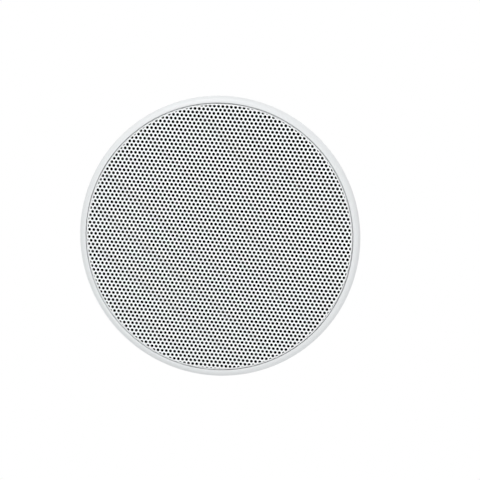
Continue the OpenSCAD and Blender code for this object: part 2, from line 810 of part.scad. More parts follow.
// Rings of a tube of radius r along the points of a path, joined into one closed skin
module tube(path, r, sides = 8) {
    n = len(path);
    function unit(v) = v / norm(v);
    function along(i) = unit(path[min(i + 1, n - 1)] - path[max(i - 1, 0)]);
    function side(i) = unit(cross(along(i), abs(along(i)[1]) < 0.9 ? [0, 1, 0] : [1, 0, 0]));
    points = [
        for (i = [0:n - 1]) for (j = [0:sides - 1])
            let (u = side(i), v = cross(along(i), u), a = 360 * j / sides)
            path[i] + r * (cos(a) * u + sin(a) * v)
    ];
    walls = [
        for (i = [0:n - 2]) for (j = [0:sides - 1])
            let (m = (j + 1) % sides)
            [i * sides + j, i * sides + m, (i + 1) * sides + m, (i + 1) * sides + j]
    ];
    ends = [[for (j = [sides - 1:-1:0]) j], [for (j = [0:sides - 1]) (n - 1) * sides + j]];
    polyhedron(points, concat(walls, ends));
}
module terminal_spring(s) {
    low = block_floor + spring_wire_r;
    high = block_shelf - clear - button_lip_t - spring_wire_r;
    turns = 4;
    steps = 10;
    r = 1.9;
    path = [
        for (i = [0:turns * steps]) let (a = 360 * i / steps)
            [r * cos(a), r * sin(a), low + (high - low) * i / (turns * steps)]
    ];
    color("silver") at_button(s, button_x) tube(path, spring_wire_r, 6);
}

// Points of a smooth line through the corners of a route, each corner cut by n points
function smooth(route, n = 4) = concat(
    [route[0]],
    [for (i = [1:len(route) - 2]) for (j = [0:n])
        let (t = j / n, b = route[i], a = (route[i - 1] + b) / 2, c = (b + route[i + 1]) / 2)
        (1 - t) * (1 - t) * a + 2 * t * (1 - t) * b + t * t * c],
    [route[len(route) - 1]]
);

// Strip with the woofer's two tags, on a pad of the basket
module tag_strip() {
    color("tan") translate([tag_x, -tag_w / 2, tag_low]) cube([tag_t, tag_w, tag_h]);
}
module lead(s, tint) {
    x = tag_x + tag_t / 2;
    top = board_top + 0.05;
    route = [
        [lead_x, 0, top], [lead_x, 0, top + 4], [board_l / 2 + 2, 0, top + 3],
        [ferrite_d / 2 + 3, 0, top - 4], [ferrite_d / 2 + 3, 0, ferrite_z + ferrite_t / 2],
        [x, 0, ferrite_z + 1], [x, 0, tag_low + tag_h + 0.05]
    ];
    color(tint) translate([0, s * lead_gap, 0]) tube(smooth(route), lead_d / 2);
}
module tinsel_leads() {
    x = tag_x + tag_t / 2;
    r = tinsel_r;
    low = woofer_z + cone_rise(r) + cone_t * 1.3;
    route = [
        [x, 0, tag_low - 0.05], [x, 0, tag_low - 5], [x - 9, 0, tag_low - 8],
        [r + 9, 0, tag_low - 8], [r + 1, 0, low + 3], [r, 0, low + 0.1]
    ];
    color("sienna") for (s = [-1, 1]) translate([0, s * lead_gap, 0]) tube(smooth(route), tinsel_d / 2, 6);
}
module tweeter_leads() {
    color("red") for (s = [-1, 1]) {
        translate([0, s * post_lead_y, 0]) disc(post_lead_d / 2 - 0.1, cup_top, board_z - cup_top, 16);
    }
}

// Swing-out clamps
module clamp_screw(k) {
    seat = baffle_z - run;
    color("silver") at_clamp(k) {
        translate([0, 0, seat]) pan_head(clamp_head_d / 2, clamp_head_h);
        disc(screw_r, seat - e, bridge_z + bridge_t + 1 - seat + e, 32);
    }
}
module clamp_washer(k) {
    color("gray") at_clamp(k) ring(screw_r + 2.4, screw_r, baffle_top + run, washer_t, 32);
}
module clamp_bush(k) {
    low = paw_z - bush_flange_t - run;
    color("gold") at_clamp(k) difference() {
        union() {
            disc(bush_flange_r, low, bush_flange_t, 48);
            disc(bush_d / 2, low, paw_h + bush_flange_t - 1, 48);
        }
        disc(screw_r + run, low - e, paw_h + 3, 32);
    }
}
module clamp_paw(k) {
    half = paw_w / 2;
    tip = 2.5;
    grip_w = 1.2;
    plan = [
        [-half, 0], [half, 0], [half, paw_l - tip], [half - tip, paw_l],
        [tip - half, paw_l], [-half, paw_l - tip]
    ];
    side = [[0, 0], [paw_l, 0], [paw_l, paw_tip_h], [paw_hub_d / 2, paw_h], [0, paw_h]];
    color("whitesmoke") at_clamp(k) translate([0, 0, paw_z]) difference() {
        union() {
            cylinder(d = paw_hub_d, h = paw_h, $fn = 48);
            intersection() {
                linear_extrude(paw_h) polygon(plan);
                rotate([90, 0, 90]) translate([0, 0, -paw_w]) linear_extrude(2 * paw_w) polygon(side);
            }
        }
        translate([0, 0, -e]) cylinder(d = bush_d + 2 * run, h = paw_h + 2 * e, $fn = 48);
        for (i = [1:4]) {
            translate([-paw_w, paw_l - 2.6 * i, -e]) cube([2 * paw_w, grip_w, 0.8 + e]);
        }
    }
}

bezel_ring();
collar();
baffle();
screw_bosses();
frame_ribs();
clamp_towers();
ceiling_gasket();
grille_magnets();
grille();
grille_cloth();
woofer_gasket();
woofer_basket();
woofer_screws();
woofer_surround();
woofer_cone();
coil_former();
voice_coil();
spider();
top_plate();
ferrite_magnet();
yoke();
tweeter_post();
tweeter_cup();
tweeter_magnet();
tweeter_pole_plate();
tweeter_dome();
tweeter_coil();
tweeter_face();
tweeter_bolt();
tweeter_leads();
crossover_tray();
tray_screws();
circuit_board();
board_screws();
woofer_capacitor();
tweeter_capacitor();
inductor_core();
inductor_winding();
resistor();
terminal_block();
terminal_button(1, "firebrick");  // red_button
terminal_button(-1, "black");  // black_button
terminal_spring(1);  // red_spring
terminal_spring(-1);  // black_spring
tag_strip();
lead(1, "firebrick");  // red_lead
lead(-1, "black");  // black_lead
tinsel_leads();
for (k = [1:clamp_count]) {
    clamp_screw(k);
    clamp_washer(k);
    clamp_bush(k);
    clamp_paw(k);
}
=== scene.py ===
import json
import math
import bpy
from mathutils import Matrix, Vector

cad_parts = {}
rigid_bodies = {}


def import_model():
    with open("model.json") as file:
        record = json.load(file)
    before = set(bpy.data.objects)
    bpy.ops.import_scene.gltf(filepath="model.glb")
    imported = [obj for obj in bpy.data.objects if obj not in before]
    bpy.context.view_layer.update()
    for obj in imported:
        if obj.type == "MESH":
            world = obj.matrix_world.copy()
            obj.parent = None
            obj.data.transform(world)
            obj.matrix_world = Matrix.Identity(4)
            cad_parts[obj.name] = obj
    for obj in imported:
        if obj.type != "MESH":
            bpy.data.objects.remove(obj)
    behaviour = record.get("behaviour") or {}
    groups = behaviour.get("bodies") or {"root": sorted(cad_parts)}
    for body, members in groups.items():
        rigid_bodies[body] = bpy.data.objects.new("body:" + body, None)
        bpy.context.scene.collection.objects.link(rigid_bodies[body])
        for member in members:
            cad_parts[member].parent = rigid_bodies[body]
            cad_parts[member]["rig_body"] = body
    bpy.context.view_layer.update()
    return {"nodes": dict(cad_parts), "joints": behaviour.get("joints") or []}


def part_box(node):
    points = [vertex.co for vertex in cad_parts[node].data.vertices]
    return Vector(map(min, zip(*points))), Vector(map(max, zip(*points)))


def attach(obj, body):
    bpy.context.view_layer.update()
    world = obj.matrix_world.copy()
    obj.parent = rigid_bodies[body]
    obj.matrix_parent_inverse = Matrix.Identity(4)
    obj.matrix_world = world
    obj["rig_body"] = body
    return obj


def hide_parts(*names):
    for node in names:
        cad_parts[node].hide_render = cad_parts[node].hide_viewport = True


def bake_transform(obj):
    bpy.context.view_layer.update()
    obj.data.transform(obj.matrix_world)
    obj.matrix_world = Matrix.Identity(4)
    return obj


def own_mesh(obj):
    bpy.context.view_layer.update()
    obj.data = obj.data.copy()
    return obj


bl_info = {
    "name": "In-ceiling speaker",
    "version": (1, 0, 0),
    "blender": (4, 5, 0),
    "location": "View3D > Sidebar > Speaker",
    "description": "Dresses an in-ceiling speaker with its perforated grille, driver, crossover and clamps",
    "category": "Add Mesh",
}

import bmesh
import bpy
from bpy.props import FloatProperty, FloatVectorProperty, IntProperty, PointerProperty
from mathutils import Matrix, Vector

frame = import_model()
MM = 0.001
FULL = 2 * math.pi


def linear(hex_colour):
    """An sRGB hex colour as linear red, green and blue."""
    parts = [int(hex_colour[i:i + 2], 16) / 255 for i in (1, 3, 5)]
    return [p / 12.92 if p <= 0.04045 else ((p + 0.055) / 1.055) ** 2.4 for p in parts]


def reach(node):
    """Largest radius of a node about the Z axis, its lowest and its highest Z."""
    low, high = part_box(node)
    return max(high.x, -low.x, high.y, -low.y), low.z, high.z


def bore(node):
    """Smallest radius of a ring-shaped node about the Z axis."""
    return min(math.hypot(v.co.x, v.co.y) for v in frame["nodes"][node].data.vertices)


def centre(node):
    """Middle of a node's box."""
    low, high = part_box(node)
    return (low + high) / 2


GRILLE_R, GRILLE_FACE, GRILLE_SEAT = reach("grille")
CLAMPS = [j for j in frame["joints"] if j["name"].endswith("_turn")]
COLOUR_NAMES = ("red", "black")
LOOSE = 0.98  # Share of its pitch that a wound wire fills, so that its turns don't touch
LEG_SUNK = 0.2 * MM  # How deep inside the board every leg ends
SHARP = math.radians(32)  # Edges sharper than this stay crisp in shading
ROUNDED = math.radians(40)  # Edges sharper than this are rounded where a piece asks for it
MATHS = "ShaderNodeMath"
VECTOR_MATHS = "ShaderNodeVectorMath"


def length(name, description, default):
    """A length that a user can set, in metres."""
    return FloatProperty(name=name, description=description, default=default, unit="LENGTH", precision=5)


def angle(name, description, degrees):
    """An angle that a user can set, given in degrees."""
    return FloatProperty(name=name, description=description, default=math.radians(degrees), unit="ROTATION")


def power(name, description, watts):
    """A lamp's power that a user can set."""
    return FloatProperty(name=name, description=description, default=watts, unit="POWER")


def colour(name, description, hex_colour):
    """A colour that a user can set, given as a hex value."""
    return FloatVectorProperty(
        name=name, description=description, default=linear(hex_colour), subtype="COLOR", min=0, max=1
    )


class SpeakerGrilleSizes(bpy.types.PropertyGroup):
    pitch: length("Hole pitch", "Distance between neighbouring holes of the sheet", 3.5 * MM)
    hole: length("Hole diameter", "Diameter of a punched hole", 2.5 * MM)
    sheet: length("Sheet thickness", "Thickness of the steel sheet", 0.8 * MM)
    bend: length("Bend radius", "Outer radius of the bend at the edge", 1.2 * MM)
    row_angle: angle("Row angle", "Turn of the rows of holes about Z", 3.97)
    first_x: length("First hole X", "Where the middle hole sits, along X", -0.87 * MM)
    first_y: length("First hole Y", "Where the middle hole sits, along Y", -2.22 * MM)
    sides: IntProperty(name="Hole sides", description="Corners of each hole", default=10, min=6, max=16)


class SpeakerDriverSizes(bpy.types.PropertyGroup):
    sectors: IntProperty(
        name="Sectors", description="Pieces that a moving ring is made of, each bent on its own radius",
        default=16, min=8, max=32,
    )
    thread_lead: length("Thread lead", "Travel of a clamp per turn of its screw", 2.0 * MM)
    wire: length("Wire diameter", "Diameter of the inductor's enamelled wire", 0.9 * MM)
    edge: length("Edge rounding", "Rounding of the edges of moulded pieces", 0.35 * MM)


class SpeakerColours(bpy.types.PropertyGroup):
    grille: colour("Grille", "Powder coat of the grille", "#f8f9fa")
    frame: colour("Frame", "Moulded plastic of the bezel and frame", "#e4e6e7")
    cloth: colour("Cloth", "Cloth behind the grille", "#0a0a0b")
    black_plastic: colour("Black plastic", "Moulded black pieces", "#1c1d1f")
    red_plastic: colour("Red plastic", "Red terminal button", "#a81816")
    rubber: colour("Rubber", "Surround of the woofer", "#17181a")
    cone: colour("Cone", "Moulded cone of the woofer", "#2a2c30")
    spider: colour("Spider", "Treated cloth of the spider", "#b08233")
    copper: colour("Copper", "Enamelled copper wire", "#a8562b")
    board: colour("Board", "Solder mask of the circuit board", "#0f5030")


class SpeakerCamera(bpy.types.PropertyGroup):
    azimuth: angle("Azimuth", "Side from which the camera looks up at the grille", 43.98)
    elevation: angle("Elevation", "Height of the camera, below the ceiling", -80.05)
    distance: length("Distance", "From the grille's centre to the camera", 1.3608)
    aim_x: length("Aim X", "Point on the grille's face that the camera is aimed at, along X", 18.1 * MM)
    aim_y: length("Aim Y", "Point on the grille's face that the camera is aimed at, along Y", 1.5 * MM)
    roll: angle("Roll", "Turn of the camera about its line of sight", -0.392)
    lens: FloatProperty(
        name="Lens", description="Focal length on a 36 mm sensor, in millimetres", default=123.75
    )


class SpeakerStage(bpy.types.PropertyGroup):
    floor_z: length("Floor height", "Height of the floor below the ceiling plane", -1.9)
    key: power("Main lamp", "Power of the lamp under the speaker at its front", 9.5)
    below: power("Lamp below", "Power of the second lamp under the speaker", 4.5)
    above: power("Lamps above", "Power of the soft lamps over the speaker", 3)
    lamp_size: length("Lamp size", "Diameter of each soft lamp", 0.9)
    sky: FloatProperty(name="Surroundings", description="Strength of the white surroundings", default=0.72)
    floor_size: length("Floor size", "Half the side of the square floor", 60.0)
    floor_white: FloatProperty(
        name="Floor white", default=0.93,
        description="Share of plain white in the floor as the camera and gloss see it",
    )


def settings(group):
    """The scene's settings of one group."""
    return getattr(bpy.context.scene, "speaker_" + group)


def add(tree, kind, inputs=None, **options):
    """One node with its options set, and its inputs set or linked."""
    node = tree.nodes.new(kind)
    for name, value in options.items():
        setattr(node, name, value)
    for name, value in (inputs or {}).items():
        socket = node.inputs[name]
        if isinstance(value, bpy.types.NodeSocket):
            tree.links.new(value, socket)
        else:
            socket.default_value = value
    return node


def surface(name, base, roughness, ior=1.5, metallic=0.0, **more):
    """A material with one Principled surface, its tree and that surface's node."""
    made = bpy.data.materials.new(name)
    made.use_nodes = True
    tree = made.node_tree
    tree.nodes.clear()
    shader = add(tree, "ShaderNodeBsdfPrincipled", {
        "Base Color": (*base, 1), "Roughness": roughness, "IOR": ior, "Metallic": metallic, **more,
    })
    add(tree, "ShaderNodeOutputMaterial", {"Surface": shader.outputs[0]})
    made.diffuse_color = (*base, 1)
    return made, tree, shader


def seen_directly(tree):
    """1 for the rays that show a backdrop: those of the camera, in gloss and through glass."""
    path = add(tree, "ShaderNodeLightPath").outputs
    shown = add(tree, MATHS, {0: path["Is Camera Ray"], 1: path["Is Glossy Ray"]}, operation="MAXIMUM")
    shown = add(tree, MATHS, {0: shown.outputs[0], 1: path["Is Transmission Ray"]}, operation="MAXIMUM")
    return shown.outputs[0]


def place(tree):
    """Object coordinates, in metres."""
    return add(tree, "ShaderNodeTexCoord").outputs["Object"]


def tint(tree, shader, base, factor, darker):
    """Mixes the base colour with a darker one by a pattern."""
    low = [c * darker for c in base]
    mix = add(tree, "ShaderNodeMix", {0: factor, 6: (*base, 1), 7: (*low, 1)}, data_type="RGBA")
    tree.links.new(mix.outputs[2], shader.inputs["Base Color"])


def dent(tree, shader, height, depth, strength=1.0):
    """Bump of a given depth in metres."""
    bump = add(tree, "ShaderNodeBump", {"Height": height, "Distance": depth, "Strength": strength})
    tree.links.new(bump.outputs[0], shader.inputs["Normal"])


# Every finish by what it is and how it was made. Grain and depth are real sizes in millimetres,
# and a grain that is too fine for a render is drawn as coarse as it needs to show.
FINISHES = {
    # Powder-coated steel: a baked satin coat with faint orange peel, which blurs each highlight
    "powder_coated_steel": dict(
        colour="grille", roughness=0.45, grain=1.6, depth=0.01, darker=0.985,
    ),
    # Moulded ABS with a satin texture from the mould: softer and a little darker than the coat
    "satin_moulded_abs": dict(
        colour="frame", roughness=0.5, ior=1.54, grain=0.5, depth=0.008, darker=0.97,
    ),
    # Acoustically open scrim, plain woven from black thread: matt, with the weave just visible
    "woven_black_scrim": dict(
        colour="cloth", pattern="WEAVE", roughness=0.95, grain=0.7, depth=0.12, darker=0.35,
        **{"Specular IOR Level": 0.12},
    ),
    # Closed-cell polyethylene foam: open cut cells give small dark pits
    "closed_cell_foam": dict(
        colour="#2b2c2e", pattern="CELLS", roughness=0.9, grain=0.7, depth=0.12, darker=0.5,
    ),
    # Nickel-plated neodymium: bright and warm, with a mirror softened by fine tumbling marks
    "nickel_plate": dict(
        colour="#cfc9bc", metallic=1.0, roughness=0.22, grain=0.6, depth=0.002, darker=0.93,
    ),
    # Zinc-plated steel: bluish grey with cloudy patches where the bath passivated unevenly
    "zinc_plated_steel": dict(
        colour="#c6cacd", metallic=1.0, roughness=0.34, grain=2.2, depth=0.004, darker=0.86,
    ),
    # Zinc plate over a turned face: the cutter's concentric marks stay visible
    "turned_plated_steel": dict(
        colour="#bfc3c5", metallic=1.0, pattern="RINGS", roughness=0.33, grain=0.5, depth=0.006,
        darker=0.9,
    ),
    # Black-oxide screws: dark oiled steel with a low sheen
    "black_oxide_steel": dict(
        colour="#26272a", metallic=1.0, roughness=0.42, grain=0.8, depth=0.003, darker=0.8,
    ),
    # Black epoxy-coated pressed steel: a slightly pebbled satin coat
    "epoxy_coated_steel": dict(
        colour="#1b1c1e", roughness=0.38, grain=0.9, depth=0.015, darker=0.8,
    ),
    # Hard-drawn spring wire: bright, with fine marks from the die
    "drawn_spring_steel": dict(
        colour="#b9bcbf", metallic=1.0, roughness=0.25, grain=0.3, depth=0.002, darker=0.85,
    ),
    # Free-cutting brass from a lathe: yellow and bright, with fine tool marks
    "turned_brass": dict(
        colour="#c8a558", metallic=1.0, roughness=0.27, grain=0.35, depth=0.004, darker=0.86,
    ),
    # Nitrile rubber half roll: deep black, slightly waxy
    "nitrile_rubber": dict(
        colour="rubber", roughness=0.58, ior=1.52, grain=0.9, depth=0.01, darker=0.75,
    ),
    # Injection-moulded mica-filled polypropylene: dark, with fine flow rings and a soft gloss
    "mica_polypropylene": dict(
        colour="cone", pattern="RINGS", roughness=0.36, ior=1.49, grain=1.4, depth=0.01,
        darker=0.82,
    ),
    # Polyimide film tube: amber and glossy
    "polyimide_film": dict(
        colour="#9c6a22", roughness=0.22, ior=1.7, grain=2.5, depth=0.003, darker=0.85,
    ),
    # Phenolic-treated cotton: a stiffened plain weave, dull and tan
    "treated_cotton": dict(
        colour="spider", pattern="WEAVE", roughness=0.8, grain=0.8, depth=0.08, darker=0.6,
    ),
    # Sintered ferrite with ground faces: dark grey, nearly matt, with grinding lines
    "ground_ferrite": dict(
        colour="#3a3b3d", roughness=0.62, ior=1.9, pattern="STRIPES", grain=0.6, depth=0.006,
        darker=0.82,
    ),
    # Silk dome with a damping coat: a fine weave under a tacky sheen
    "coated_silk": dict(
        colour="#202124", pattern="WEAVE", roughness=0.42, grain=0.45, depth=0.02, darker=0.7,
    ),
    # Black ABS housings: spark-eroded mould texture
    "textured_black_abs": dict(
        colour="black_plastic", roughness=0.5, ior=1.54, grain=0.45, depth=0.02, darker=0.85,
    ),
    # Glass-filled nylon: matt, with faint swirls where the fibres reach the skin
    "glass_filled_nylon": dict(
        colour="#2d2e31", roughness=0.55, ior=1.53, grain=1.1, depth=0.018, darker=0.72,
    ),
    # Red polished ABS button
    "polished_red_abs": dict(
        colour="red_plastic", roughness=0.26, ior=1.54, grain=1.5, depth=0.003, darker=0.9,
    ),
    # Black polished ABS button
    "polished_black_abs": dict(
        colour="#121315", roughness=0.26, ior=1.54, grain=1.5, depth=0.003, darker=0.8,
    ),
    # Enamelled copper wire: the clear enamel warms and glosses the metal
    "enamelled_copper": dict(
        colour="copper", metallic=1.0, roughness=0.24, grain=2.0, depth=0.002, darker=0.8,
        **{"Coat Weight": 0.5, "Coat Roughness": 0.12},
    ),
    # Tinned copper legs and solder: pale, soft metal
    "tinned_copper": dict(
        colour="#c4c5c3", metallic=1.0, roughness=0.3, grain=0.8, depth=0.004, darker=0.85,
    ),
    # Metallised film capacitor: polyester tape wrapped round, glossy mustard
    "wrapped_polyester_tape": dict(
        colour="#c8a51f", roughness=0.28, ior=1.57, pattern="STRIPES", grain=3.2, depth=0.012,
        darker=0.88, **{"Coat Weight": 0.3, "Coat Roughness": 0.2},
    ),
    # Epoxy that seals the capacitor's ends
    "cast_epoxy": dict(
        colour="#9a7d22", roughness=0.3, ior=1.55, grain=1.6, depth=0.05, darker=0.8,
    ),
    # Cement resistor: unglazed ceramic case, chalky and pitted
    "cast_cement": dict(
        colour="#e4e1d8", roughness=0.85, ior=1.52, grain=0.6, depth=0.05, darker=0.82,
    ),
    # Soft PVC insulation: smooth with a slight drag texture
    "red_pvc": dict(
        colour="#a51a17", roughness=0.35, ior=1.53, grain=0.7, depth=0.006, darker=0.85,
    ),
    "black_pvc": dict(
        colour="#141416", roughness=0.35, ior=1.53, grain=0.7, depth=0.006, darker=0.7,
    ),
    # Tinsel lead: copper foil braided round cotton, so light breaks up along it
    "braided_tinsel": dict(
        colour="#b06a3c", metallic=1.0, pattern="CELLS", roughness=0.35, grain=0.5, depth=0.08,
        darker=0.45,
    ),
    # Phenolic paper laminate of the tag strip: brown, dull, faintly fibrous
    "phenolic_paper": dict(
        colour="#6b4020", roughness=0.5, ior=1.55, pattern="STRIPES", grain=0.5, depth=0.006,
        darker=0.8,
    ),
    # White ink of the polarity marks
    "white_ink": dict(
        colour="#e6e6e2", roughness=0.6, grain=0.4, depth=0.004, darker=0.92,
    ),
}


# A wave texture of scale 1 repeats after pi / 10 metres
WAVE = 0.314
# Every surface has glossier and duller patches, about 11 mm across: these shares of its roughness
PATCHES = 0.09 / MM
SMOOTHEST, ROUGHEST = 0.85, 1.15


def finish_of(name):
    """The finish of that name, made on first use."""
    if name not in bpy.data.materials:
        make_finish(name, **FINISHES[name])
    return bpy.data.materials[name]


def make_finish(
    name, colour, roughness, grain, depth, darker, pattern="NOISE", ior=1.5, metallic=0.0, **more
):
    """A material with a pattern of real grain and depth, which darkens to a share of the colour."""
    base = linear(colour) if colour.startswith("#") else list(getattr(settings("colours"), colour))
    _, tree, shader = surface(name, base, roughness, ior, metallic, **more)
    at = place(tree)
    size = grain * MM
    if pattern == "NOISE":
        drawn = add(tree, "ShaderNodeTexNoise", {"Vector": at, "Scale": 1 / size, "Detail": 3.0}).outputs[0]
    elif pattern == "CELLS":
        drawn = add(tree, "ShaderNodeTexVoronoi", {"Vector": at, "Scale": 1 / size}).outputs["Distance"]
    elif pattern == "RINGS":
        rings = {"Vector": at, "Scale": WAVE / size, "Distortion": 0.4, "Detail Scale": 40.0}
        drawn = add(tree, "ShaderNodeTexWave", rings, wave_type="RINGS", rings_direction="Z").outputs["Fac"]
    elif pattern == "STRIPES":
        lines = {"Vector": at, "Scale": WAVE / size, "Distortion": 1.5, "Detail Scale": 30.0}
        drawn = add(tree, "ShaderNodeTexWave", lines, wave_type="BANDS", bands_direction="X").outputs["Fac"]
    else:
        threads = {"Vector": at, "Scale": WAVE / (2 * size)}
        warp, weft = (
            add(tree, "ShaderNodeTexWave", threads, wave_type="BANDS", bands_direction=way).outputs["Fac"]
            for way in "XY"
        )
        drawn = add(tree, MATHS, {0: warp, 1: weft}, operation="MULTIPLY").outputs[0]
    tint(tree, shader, base, drawn, darker)
    dent(tree, shader, drawn, depth * MM)
    patches = add(tree, "ShaderNodeTexNoise", {"Vector": at, "Scale": PATCHES, "Detail": 2.0}).outputs[0]
    spread = add(tree, "ShaderNodeMapRange", {
        "Value": patches, 3: roughness * SMOOTHEST, 4: roughness * ROUGHEST,
    })
    tree.links.new(spread.outputs[0], shader.inputs["Roughness"])


def put(name, mesh, finish, *nodes, body=None):
    """A finished piece of the object: its mesh, finish, CAD nodes and the body that it rides on."""
    if isinstance(mesh, bmesh.types.BMesh):
        made = bpy.data.meshes.new(name)
        mesh.to_mesh(made)
        mesh.free()
        mesh = made
    mesh.name = name
    mesh.shade_smooth()
    mesh.set_sharp_from_angle(angle=SHARP)
    mesh.materials.clear()
    mesh.materials.append(finish_of(finish))
    piece = bpy.data.objects.new(name, mesh)
    bpy.context.scene.collection.objects.link(piece)
    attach(piece, body or frame["nodes"][nodes[0]]["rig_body"])
    if nodes:
        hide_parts(*nodes)
    return piece


def merged(node):
    """The CAD piece's own surface as a bmesh, its loose triangles joined and its flat faces made whole."""
    same_place, same_plane = 0.002 * MM, math.radians(0.3)
    mesh = bmesh.new()
    mesh.from_mesh(frame["nodes"][node].data)
    bmesh.ops.remove_doubles(mesh, verts=mesh.verts, dist=same_place)
    bmesh.ops.dissolve_limit(mesh, angle_limit=same_plane, verts=mesh.verts, edges=mesh.edges)
    return mesh


def dressed(node, finish, edge=0.0):
    """A CAD piece with smooth surfaces and, where edge is given, slightly rounded edges."""
    piece = put(node + "_skin", merged(node), finish, node)
    if edge:
        bevel = piece.modifiers.new("Rounded edges", "BEVEL")
        bevel.width = edge
        bevel.segments = 2
        bevel.limit_method = "ANGLE"
        bevel.angle_limit = ROUNDED
        bevel.harden_normals = True
    return piece


def revolved(profile, steps=128):
    """A closed ring turned about the Z axis from a profile of (radius, height) points, counter-clockwise."""
    mesh = bmesh.new()
    rings = []
    for i in range(steps):
        turn = FULL * i / steps
        rings.append([mesh.verts.new((r * math.cos(turn), r * math.sin(turn), z)) for r, z in profile])
    for i in range(steps):
        a, b = rings[i], rings[(i + 1) % steps]
        for j in range(len(profile)):
            k = (j + 1) % len(profile)
            mesh.faces.new((a[j], b[j], b[k], a[k]))
    bmesh.ops.recalc_face_normals(mesh, faces=mesh.faces)
    return mesh


def block(mesh, low, high):
    """Adds a box between two corners to a bmesh."""
    made = bmesh.ops.create_cube(mesh, size=1.0)["verts"]
    low, high = Vector(low), Vector(high)
    for v in made:
        v.co = Vector((low[i] + (high[i] - low[i]) * (v.co[i] + 0.5) for i in range(3)))


def node_tree(name, floats=(), ints=(), vectors=()):
    """An empty Geometry Nodes tree, its inputs and outputs, and its named inputs' identifiers."""
    tree = bpy.data.node_groups.new(name, "GeometryNodeTree")
    tree.interface.new_socket(name="Geometry", in_out="OUTPUT", socket_type="NodeSocketGeometry")
    ids = {"Geometry": tree.interface.new_socket(
        name="Geometry", in_out="INPUT", socket_type="NodeSocketGeometry").identifier}
    for names, kind in ((floats, "NodeSocketFloat"), (ints, "NodeSocketInt"), (vectors, "NodeSocketVector")):
        for n in names:
            ids[n] = tree.interface.new_socket(name=n, in_out="INPUT", socket_type=kind).identifier
    return tree, add(tree, "NodeGroupInput").outputs, ids


def close_tree(tree, geometry, finish):
    """Ends a tree in real geometry with its finish."""
    real = add(tree, "GeometryNodeRealizeInstances", {0: geometry})
    coated = add(tree, "GeometryNodeSetMaterial", {0: real.outputs[0], "Material": finish_of(finish)})
    add(tree, "NodeGroupOutput", {0: coated.outputs[0]})


def grown(tree, ids, values, carrier=None):
    """The plain mesh that a tree gives for those values, on an empty or given carrier."""
    data = carrier or bpy.data.meshes.new("carrier")
    holder = bpy.data.objects.new("carrier", data)
    bpy.context.scene.collection.objects.link(holder)
    growth = holder.modifiers.new(tree.name, "NODES")
    growth.node_group = tree
    for name, value in values.items():
        growth[ids[name]] = value
    ready = holder.evaluated_get(bpy.context.evaluated_depsgraph_get())
    mesh = bpy.data.meshes.new_from_object(ready)
    bpy.data.objects.remove(holder)
    return mesh


